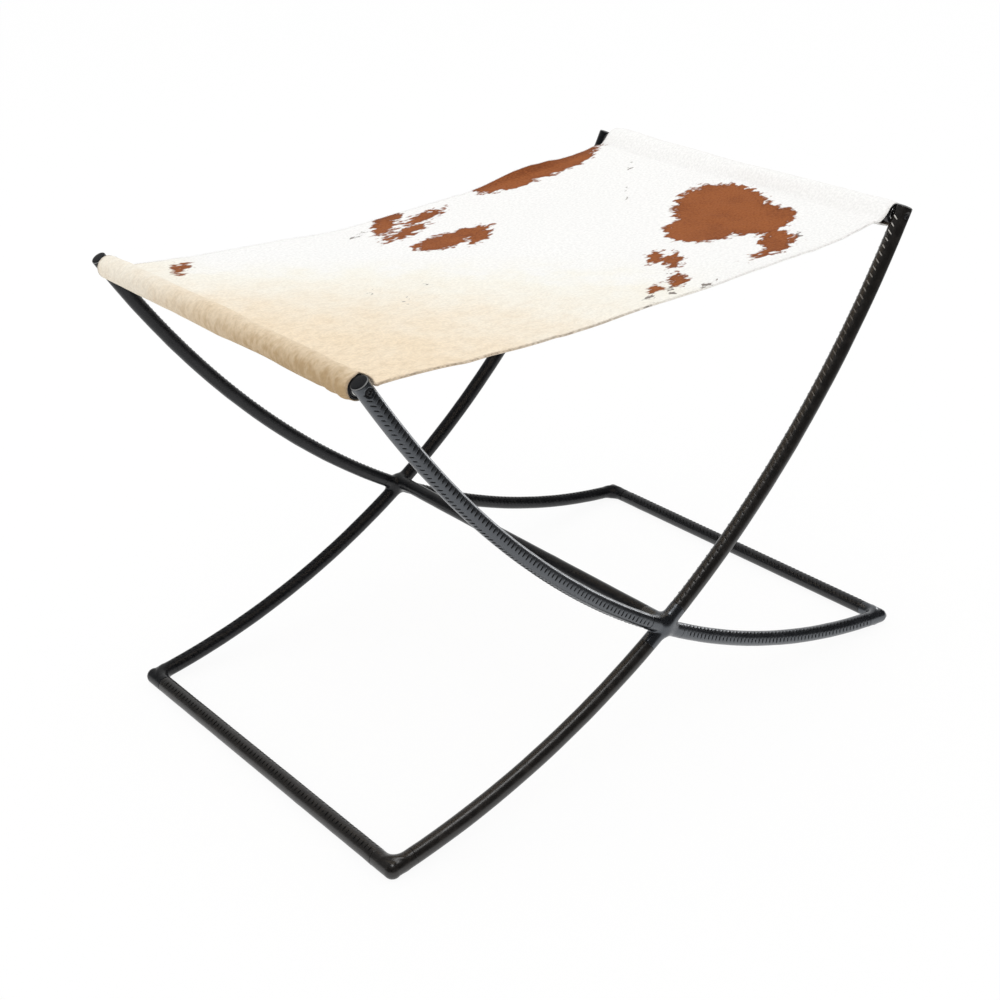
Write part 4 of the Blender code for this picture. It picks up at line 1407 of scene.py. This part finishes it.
def hair_material(name, colours, flow):
    """Haired hide: white that fades over ivory into cream and tan, brown patches and single grey hairs.

    A patch's depth is shifted by the streaks of the hair before it is cut off, so its border breaks up into
    locks that follow the flow. The tan darkens the left roll towards its underside as painted shade. The rim of
    the cut edges is darker, faintly on the white side as a painted shade line and fully on the cream side, and
    the curled lip is darker as painted shade.
    """
    material, tree, shader = new_material(name)
    effect = add_node(tree, "ShaderNodeGroup", node_tree=hair_group())
    effect.inputs["Flow"].default_value = flow
    locks, hairs, drift, mottle = (effect.outputs[socket] for socket in ("Locks", "Hairs", "Drift", "Mottle"))

    def ramp(value, *limits):
        return ramp_node(tree, value, *limits)

    def plus(first, second):
        return math_node(tree, "ADD", first, second)

    def times(first, second):
        return math_node(tree, "MULTIPLY", first, second)

    def around_zero(noise, reach_out):
        return times(math_node(tree, "SUBTRACT", noise, 0.5), reach_out)

    def at_most_one(value):
        return math_node(tree, "MINIMUM", value, 1.0)

    shift = plus(around_zero(locks, 0.027), around_zero(hairs, 0.0035))
    patch = plus(attribute_node(tree, "brown"), shift)
    brown = ramp(patch, -0.0028, 0.0018)
    grey = ramp(plus(attribute_node(tree, "grey"), shift), 0.0014, 0.0034, 0.0, 0.95)

    # White, ivory, cream and tan
    cream = attribute_node(tree, "cream")
    uneven = times(around_zero(drift, 0.5), ramp(cream, 0.0, 0.2))
    cream = math_node(tree, "MAXIMUM", at_most_one(plus(cream, uneven)), 0.0)
    ivory = mix_node(tree, ramp(cream, 0.0, 0.30), rgba(colours.white), rgba(colours.ivory))
    pale = mix_node(tree, ramp(cream, 0.12, 1.08), ivory, rgba(colours.cream))
    streaks = times(times(ramp(locks, 0.30, 0.62, 1.0, 0.0), cream), 0.19)
    # Tan over the left roll: painted shade towards its underside, most at the near end
    tan = times(attribute_node(tree, "tan"), ramp(locks, 0.30, 0.68, 1.07, 0.93))
    pale = mix_node(tree, at_most_one(plus(streaks, tan)), pale, rgba(colours.tan))
    # Rim darkening along the cut edges: a faint painted shade line on the white side, full on the cream side
    rim = times(attribute_node(tree, "rim"), ramp(mottle, 0.30, 0.65, 0.85, 0.35))
    rim = times(rim, ramp(cream, 0.05, 0.6, 0.20, 1.0))
    pale = mix_node(tree, rim, pale, rgba(colours.rim))
    pale = mix_node(tree, grey, pale, rgba(colours.grey))

    # Brown patches, darker at their borders and in blotches, and darker on the curled lip as painted shade
    shadow = plus(ramp(mottle, 0.30, 0.62, 0.30, 0.0), ramp(patch, 0.0, 0.0060, 0.50, 0.0))
    shadow = plus(shadow, ramp(drift, 0.35, 0.60, 0.30, 0.0))
    # Painted shade on the curled far lip
    lip = times(attribute_node(tree, "lip"), ramp(hairs, 0.35, 0.60, 0.75, 0.25))
    dark = at_most_one(plus(shadow, lip))
    coat = mix_node(tree, dark, rgba(colours.brown), rgba(colours.dark_brown))

    both = mix_node(tree, brown, pale, coat)
    fine = times(ramp(hairs, 0.25, 0.75, 0.94, 1.02), ramp(mottle, 0.30, 0.70, 0.93, 1.03))
    shade = add_node(tree, "ShaderNodeCombineColor", {0: fine, 1: fine, 2: fine}).outputs[0]
    base = mix_node(tree, 1.0, both, shade, "MULTIPLY")
    relief = plus(locks, times(hairs, 0.7))
    rough = ramp(hairs, 0.2, 0.8, 0.86, 0.66)
    shader.inputs["Specular IOR Level"].default_value = 0.08
    finish_surface(tree, shader, base, rough, relief, 0.35, 0.0012)
    return material


def suede_material(name, base, cream):
    """Flesh side or cut edge of the hide: matt, with a soft nap; the cream side has its own colour."""
    material, tree, shader = new_material(name)
    effect = add_node(tree, "ShaderNodeGroup", node_tree=grain_group())
    effect.inputs["Grain scale"].default_value = 900.0
    effect.inputs["Blotch scale"].default_value = 30.0
    side = attribute_node(tree, "cream")
    plain = mix_node(tree, side, rgba(base), rgba(cream))
    shadow = mix_node(tree, side, rgba(darker(base, 0.88)), rgba(darker(cream, 0.70)))
    mixed = mix_node(tree, effect.outputs["Blotch"], plain, shadow)
    rough = ramp_node(tree, effect.outputs["Height"], 0.2, 1.0, 0.95, 0.80)
    shader.inputs["Specular IOR Level"].default_value = 0.2
    finish_surface(tree, shader, mixed, rough, effect.outputs["Height"], 0.5, 0.0006)
    return material


def darker(value, factor):
    """The colour times a factor, which lightens it where it is above 1."""
    return tuple(channel * factor for channel in value)


def pale_thread():
    """Thread of the right legs: painted pale at the top as a painted highlight for the glints on its stitches,
    dull lower down and dark under that.
    """
    colours = bpy.context.scene.bench_leather_colours
    found = bpy.data.materials.get("pale_thread")
    if found:
        return found
    material, tree, shader = new_material("pale_thread")
    effect = add_node(tree, "ShaderNodeGroup", node_tree=grain_group())
    place = add_node(tree, "ShaderNodeTexCoord").outputs["Object"]
    height = add_node(tree, "ShaderNodeSeparateXYZ", {0: place}).outputs["Z"]
    # How pale the thread is painted: a painted highlight that grows with height and is broken up in blotches
    rub = ramp_node(tree, height, PALE_FROM, PALE_TO)
    rub = math_node(tree, "MULTIPLY", rub, ramp_node(tree, effect.outputs["Blotch"], 0.30, 0.62, 0.35, 1.0))
    # Lower down the painted highlight fades to the dull thread, and under that to dark
    dull = ramp_node(tree, height, DULL_FROM, DULL_TO)
    low = mix_node(tree, dull, rgba(colours.thread), rgba(colours.dull_thread))
    mixed = mix_node(tree, rub, low, rgba(colours.pale_thread))
    rough = ramp_node(tree, effect.outputs["Height"], 0.2, 1.0, 0.30, 0.42)
    finish_surface(tree, shader, mixed, rough, effect.outputs["Height"], 0.2, 0.0003)
    return material


# Operators

class BENCH_OT_rods(bpy.types.Operator):
    """Give the bare rods inside the leather their plain steel"""

    bl_idname = "bench.rods"
    bl_label = "Rods"

    def execute(self, context):
        steel = plain_material("plain_rod_steel")
        for name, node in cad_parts.items():
            if name.endswith("_rod"):
                node.data.materials.clear()
                node.data.materials.append(steel)
        return {"FINISHED"}


class BENCH_OT_wraps(bpy.types.Operator):
    """Wrap the legs, the floor rails and the stretcher in leather"""

    bl_idname = "bench.wraps"
    bl_label = "Leather wraps"

    def execute(self, context):
        sizes, stitches = context.scene.bench_frame, context.scene.bench_stitches
        for seed, (name, node, line, start, stop) in enumerate(bar_spans(sizes)):
            points = wrap_points(name, line, start, stop, sizes, stitches, WRAP_SEED + seed)
            parts = name.split("_")
            if parts[-1] == "upper":
                sink_screw_hole(points, SIDES[parts[0]], ENDS[parts[1]], sizes)
            points[..., 2] = np.maximum(points[..., 2], 0)
            add_closed_piece(f"{name}_leather", points, leather_for(name), [node])
        return {"FINISHED"}


class BENCH_OT_joints(bpy.types.Operator):
    """Cover the crossings and the floor corners with melted leather pieces"""

    bl_idname = "bench.joints"
    bl_label = "Leather joints"

    def execute(self, context):
        sizes = context.scene.bench_frame
        for side_name in SIDES:
            name = f"{side_name}_crossing"
            self.add(crossing_skin(f"{name}_leather", side_name, sizes), f"{name}_wrap", sizes)
            for end_name in ENDS:
                name = f"{side_name}_{end_name}_corner"
                self.add(corner_skin(f"{name}_leather", side_name, end_name, sizes), f"{name}_wrap", sizes)
        return {"FINISHED"}

    def add(self, mesh, node, sizes):
        piece = add_piece(mesh.name, mesh, leather_for(mesh.name), [node])
        wall = piece.modifiers.new("Wall", "SOLIDIFY")
        wall.thickness = sizes.wrap_radius - sizes.bore_radius
        wall.offset = -1


class BENCH_OT_stitches(bpy.types.Operator):
    """Sew two rows of stitches along every wrap"""

    bl_idname = "bench.stitches"
    bl_label = "Stitches"

    def execute(self, context):
        sizes, stitches = context.scene.bench_frame, context.scene.bench_stitches
        for seed, (name, _, line, start, stop) in enumerate(bar_spans(sizes)):
            first_seed = STITCH_SEED + 10 * seed
            rows = [stitch_points(name, index, line, start, stop, sizes, stitches, first_seed + index)
                    for index in range(2)]
            mesh = new_mesh(f"{name}_stitches", *many_tubes(np.concatenate(rows)))
            thread = pale_thread() if name in PALE_STITCHES else plain_material("dark_thread")
            add_piece(f"{name}_stitches", mesh, thread)
        return {"FINISHED"}


class BENCH_OT_leg_ends(bpy.types.Operator):
    """Close the tops of the legs with rounded leather discs"""

    bl_idname = "bench.leg_ends"
    bl_label = "Leg ends"

    def execute(self, context):
        sizes = context.scene.bench_frame
        # The rim rings take a pale raw-edge colour that is partly a painted highlight on the rounded rim
        raw = plain_material("raw_leather_edge")
        raw_edge_highlight_rings = slice(TURNED_AROUND, 5 * TURNED_AROUND)
        for side_name, side in SIDES.items():
            for end_name, end in ENDS.items():
                line = leg_line(sizes, side, end)
                top = line_point(line, sizes.leg_length)
                axis = along_direction(line, sizes.leg_length)
                name = f"{side_name}_{end_name}_leg"
                profile = self.profile(bar_radius(name, sizes), sizes)
                points = lathe_points(profile, top, axis, (0, 1, 0), TURNED_AROUND)
                piece = add_turned_piece(f"{name}_end_leather", points, leather_for(f"{name}_end"),
                                         [f"{name}_cap"])
                piece.data.materials.append(raw)
                kind = np.zeros(len(piece.data.polygons), np.int32)
                kind[raw_edge_highlight_rings] = 1
                piece.data.polygons.foreach_set("material_index", kind)
        return {"FINISHED"}

    def profile(self, radius, sizes):
        """Half section of a disc with a rounded rim and a slightly domed top."""
        low, high = sizes.gap, sizes.gap + sizes.cap_thickness
        soft, crown = 0.0010, 0.00025
        turn = np.linspace(0, math.pi / 2, 7)
        rim = np.stack([radius - soft + soft * np.cos(turn), high - soft + soft * np.sin(turn)], axis=1)
        dome = [(radius * part, high + crown * (1 - part**2)) for part in (0.8, 0.6, 0.4, 0.2)]
        return np.array([(radius * 0.5, low), (radius, low), *rim, *dome])


class BENCH_OT_rails(bpy.types.Operator):
    """Make the seat rails with their plugs, washers and screws"""

    bl_idname = "bench.rails"
    bl_label = "Seat rails"

    def execute(self, context):
        wall, soft, bevel, hollow = 0.0015, 0.0004, 0.0001, 0.0125
        outer, inner = RAIL_RADIUS, RAIL_RADIUS - wall
        half = np.array([(inner, RAIL_END - hollow), (inner, RAIL_END - soft), (inner + soft, RAIL_END),
                         (outer - soft, RAIL_END), (outer - bevel, RAIL_END - 2 * bevel),
                         (outer, RAIL_END - soft)])
        tube = np.concatenate([half, half[::-1] * (1, -1)])
        paint = plain_material("rail_paint")
        for end_name, end in ENDS.items():
            points = lathe_points(tube, (end * RAIL_X, 0, RAIL_Z), (0, 1, 0), (1, 0, 0), RAIL_AROUND)
            add_closed_piece(f"{end_name}_rail_tube", points, paint, [f"{end_name}_seat_rail"])
            for side_name, side in SIDES.items():
                self.add_fittings(f"{side_name}_{end_name}", side, end)
        return {"FINISHED"}

    def add_fittings(self, name, side, end):
        """Plug, washer and screw of one rail's end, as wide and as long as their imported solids."""
        around = {"origin": (end * RAIL_X, 0, RAIL_Z), "axis": (0, side, 0), "across": (1, 0, 0),
                  "sides": TURNED_AROUND}
        boxes = {part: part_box(f"{name}_{part}") for part in ("rail_plug", "washer", "screw")}
        span = {part: sorted(abs(float(corner[1])) for corner in box) for part, box in boxes.items()}
        wide = {part: float(box[1][2] - box[0][2]) / 2 for part, box in boxes.items()}
        rings = {"rail_plug": ("rail_paint", "black_paint"), "washer": ("washer_steel", "bright_steel")}
        for part, (kind, slot) in rings.items():
            points = lathe_points(self.ring_profile(wide[part], *span[part]), **around)
            material = plain_material(kind)
            add_closed_piece(f"{name}_{part}_turned", points, material, [f"{name}_{part}"])
        profile, hexes = self.screw_profile(wide["screw"], *span["screw"])
        points = lathe_points(profile, hexes=hexes, **around)
        oxide = plain_material("screw_oxide")
        add_turned_piece(f"{name}_screw_turned", points, oxide, [f"{name}_screw"])

    def ring_profile(self, radius, start, stop):
        """Half section of a ring round the screw, with its outer rim broken."""
        bore, soft = 0.0022, 0.0003
        return [(bore, start), (radius, start), (radius, stop - soft), (radius - soft, stop), (bore, stop)]

    def screw_profile(self, head, start, stop):
        """Half section of a button screw with a socket, and how hexagonal each of its rings is."""
        shank, rim, flat, crown = 0.00195, 0.0008, 0.0021, 0.00012
        socket, depth = 0.0015, 0.0013
        under = stop - 0.0022
        profile = [(shank * 0.5, start), (shank, start + 0.0006), (shank, under), (head - 0.0002, under),
                   (head, under + 0.0002), (head, under + rim), (head - 0.0004, under + rim + 0.0005),
                   (head - 0.0009, stop - 0.0003), (flat, stop - crown), (socket + 0.0003, stop),
                   (socket, stop - 0.0001), (socket, stop - depth), (socket * 0.4, stop - depth - 0.0002)]
        return profile, [0] * 9 + [0.5, 1, 1, 1]


class BENCH_OT_hide(bpy.types.Operator):
    """Lay the haired hide over the seat rails"""

    bl_idname = "bench.hide"
    bl_label = "Hide"

    def execute(self, context):
        sizes, colours = context.scene.bench_hide, context.scene.bench_hide_colours
        coat = hair_material("haired_hide", colours, sizes.flow)
        flesh = suede_material("hide_flesh_side", colours.flesh, colours.flesh)
        edge = suede_material("hide_cut_edge", colours.cut, colours.cream_cut)
        points, u, across, count = hide_places(sizes)
        mesh = hide_mesh(points, u, across, count, (coat, flesh, edge))
        piece = add_piece("seat_hide_coat", mesh, coat, ["seat_hide"])
        root, aim, long, droop, hair_u, hair_v = fringe_hairs(sizes, points, u, count)
        mesh = hair_mesh("seat_hide_fringe", root, aim, long, droop, sizes.hair, hair_u, hair_v)
        fringe = add_piece("seat_hide_fringe", mesh, coat)
        return {"FINISHED"}


class BENCH_OT_stage(bpy.types.Operator):
    """Set up the pale floor, the soft studio light and the camera"""

    bl_idname = "bench.stage"
    bl_label = "Stage"

    def execute(self, context):
        stage = context.scene.bench_stage
        self.add_floor(stage)
        self.light_world(stage)
        for name, (place, size) in SOFT_LAMPS.items():
            self.add_lamp(name, place, size, stage).visible_glossy = False
        for name, (place, size) in GLOSS_LAMPS.items():
            lamp = self.add_lamp(name, place, size, stage)
            lamp.visible_diffuse = False
            if name == "strip":
                lamp.data.shape = "RECTANGLE"
                lamp.data.size_y = STRIP_DEPTH
                lamp.rotation_quaternion = (1, 0, 0, 0)
        self.add_camera(stage)
        context.scene.view_settings.view_transform = "Standard"
        return {"FINISHED"}

    def add_floor(self, stage):
        """A floor, white to the camera but for a share of shadow; in gloss it is dark far out in front."""
        half = stage.floor_size / 2
        corners = np.array([[-1, -1, 0], [1, -1, 0], [1, 1, 0], [-1, 1, 0]]) * half
        material, tree, shader = new_material("pale_floor")
        shader.inputs["Base Color"].default_value = rgba(stage.floor_colour)
        shader.inputs["Roughness"].default_value = 0.9
        shader.inputs["Specular IOR Level"].default_value = 0.0
        paths = add_node(tree, "ShaderNodeLightPath").outputs
        seen = math_node(tree, "MAXIMUM", paths["Is Camera Ray"], paths["Is Glossy Ray"])
        seen = math_node(tree, "MAXIMUM", seen, paths["Is Transmission Ray"])
        place = add_node(tree, "ShaderNodeTexCoord").outputs["Object"]
        away = add_node(tree, "ShaderNodeVectorMath", {0: place}, operation="LENGTH").outputs["Value"]
        dark = ramp_node(tree, away, stage.glow_near, stage.glow_far)
        depth = add_node(tree, "ShaderNodeSeparateXYZ", {0: place}).outputs["Y"]
        dark = math_node(tree, "MULTIPLY", dark, ramp_node(tree, depth, 0.5, -0.5))
        dark = math_node(tree, "MULTIPLY", dark, paths["Is Glossy Ray"])
        strength = math_node(tree, "SUBTRACT", 1.0, math_node(tree, "MULTIPLY", dark, 1 - stage.studio_dark))
        white = add_node(tree, "ShaderNodeEmission", {"Color": (1, 1, 1, 1), "Strength": strength})
        factor = math_node(tree, "MULTIPLY", seen, 1 - stage.floor_shade)
        mixed = add_node(tree, "ShaderNodeMixShader", {0: factor, 1: shader.outputs[0], 2: white.outputs[0]})
        tree.links.new(mixed.outputs[0], tree.nodes["Material Output"].inputs["Surface"])
        mesh = new_mesh("floor", corners, [[0, 1, 2, 3]])
        mesh.materials.append(material)
        floor = bpy.data.objects.new("floor", mesh)
        bpy.context.scene.collection.objects.link(floor)

    def light_world(self, stage):
        """White to the camera; in gloss, a wall behind the bench that brightens to the right, else dark."""
        world = bpy.data.worlds.new("studio")
        bpy.context.scene.world = world
        world.use_nodes = True
        tree = world.node_tree
        tree.nodes.clear()
        way = add_node(tree, "ShaderNodeTexCoord").outputs["Generated"]
        parts = add_node(tree, "ShaderNodeSeparateXYZ", {0: way}).outputs
        wall = ramp_node(tree, parts["X"], -0.5, 0.6, 0.16, 0.58)
        low = ramp_node(tree, parts["Z"], 0.05, 0.35, 0.45, 0.0)
        low = math_node(tree, "MULTIPLY", low, ramp_node(tree, parts["X"], -0.4, 0.1))
        behind = ramp_node(tree, parts["Y"], 0.05, 0.45)
        glow = math_node(tree, "MULTIPLY", math_node(tree, "ADD", wall, low), behind)
        level = math_node(tree, "MAXIMUM", glow, stage.studio_dark)
        gloss = add_node(tree, "ShaderNodeBackground", {"Strength": level})
        even = add_node(tree, "ShaderNodeBackground", {"Strength": stage.ambient})
        white = add_node(tree, "ShaderNodeBackground", {"Strength": 1.0})
        for background in (gloss, even, white):
            background.inputs["Color"].default_value = (1, 1, 1, 1)
        paths = add_node(tree, "ShaderNodeLightPath").outputs
        seen = math_node(tree, "MAXIMUM", paths["Is Camera Ray"], paths["Is Transmission Ray"])
        first = add_node(tree, "ShaderNodeMixShader",
                         {0: paths["Is Glossy Ray"], 1: even.outputs[0], 2: gloss.outputs[0]})
        both = add_node(tree, "ShaderNodeMixShader", {0: seen, 1: first.outputs[0], 2: white.outputs[0]})
        output = add_node(tree, "ShaderNodeOutputWorld")
        tree.links.new(both.outputs[0], output.inputs["Surface"])

    def add_lamp(self, name, place, size, stage):
        """A round lamp of the power that the stage gives it, turned towards the bench."""
        lamp = bpy.data.lights.new(f"{name}_lamp", "AREA")
        lamp.shape = "DISK"
        lamp.size = size
        lamp.energy = getattr(stage, name)
        holder = bpy.data.objects.new(f"{name}_lamp", lamp)
        bpy.context.scene.collection.objects.link(holder)
        holder.location = place
        aim = holder.location.copy()
        aim.z -= LAMP_AIM
        holder.rotation_mode = "QUATERNION"
        holder.rotation_quaternion = aim.to_track_quat("Z", "Y")
        return holder

    def add_camera(self, stage):
        """A camera whose axes follow from its azimuth, elevation and roll."""
        turn, lift, roll = stage.azimuth, stage.elevation, stage.roll
        back = np.array([math.sin(turn) * math.cos(lift), -math.cos(turn) * math.cos(lift), math.sin(lift)])
        right = np.array([math.cos(turn), math.sin(turn), 0])
        up = np.cross(back, right)
        across = math.cos(roll) * right + math.sin(roll) * up
        above = -math.sin(roll) * right + math.cos(roll) * up
        lens = bpy.data.cameras.new("camera")
        lens.sensor_width = 36
        lens.lens = stage.lens
        camera = bpy.data.objects.new("camera", lens)
        bpy.context.scene.collection.objects.link(camera)
        place = np.eye(4)
        place[:3, :3] = np.stack([across, above, back], axis=1)
        place[:3, 3] = stage.camera_place
        camera.matrix_world = mathutils.Matrix(place.tolist())
        bpy.context.scene.camera = camera


GROUPS = {
    "bench_frame": FrameSizes,
    "bench_stitches": StitchSizes,
    "bench_hide": HideSizes,
    "bench_hide_colours": HideColours,
    "bench_leather_colours": LeatherColours,
    "bench_stage": StageSettings,
}
OPERATORS = (BENCH_OT_rods, BENCH_OT_wraps, BENCH_OT_joints, BENCH_OT_stitches, BENCH_OT_leg_ends,
             BENCH_OT_rails, BENCH_OT_hide, BENCH_OT_stage)


class BENCH_PT_looks(bpy.types.Panel):
    """Lists the steps that dress the bench"""

    bl_idname = "BENCH_PT_looks"
    bl_label = "Sled bench"
    bl_space_type = "VIEW_3D"
    bl_region_type = "UI"
    bl_category = "Sled bench"

    def draw(self, context):
        for operator in OPERATORS:
            self.layout.operator(operator.bl_idname)


def register():
    """Registers the classes and hangs the settings on the scene."""
    for found in (*GROUPS.values(), *OPERATORS, BENCH_PT_looks):
        bpy.utils.register_class(found)
    for name, group in GROUPS.items():
        setattr(bpy.types.Scene, name, bpy.props.PointerProperty(type=group))


def unregister():
    """Takes the settings and the classes away again."""
    for name in GROUPS:
        delattr(bpy.types.Scene, name)
    for found in reversed((*GROUPS.values(), *OPERATORS, BENCH_PT_looks)):
        bpy.utils.unregister_class(found)


def main():
    """Dresses the bench step by step."""
    register()
    bpy.ops.bench.rods()
    bpy.ops.bench.wraps()
    bpy.ops.bench.joints()
    bpy.ops.bench.stitches()
    bpy.ops.bench.leg_ends()
    bpy.ops.bench.rails()
    bpy.ops.bench.hide()
    bpy.ops.bench.stage()


if __name__ == "__main__":
    main()
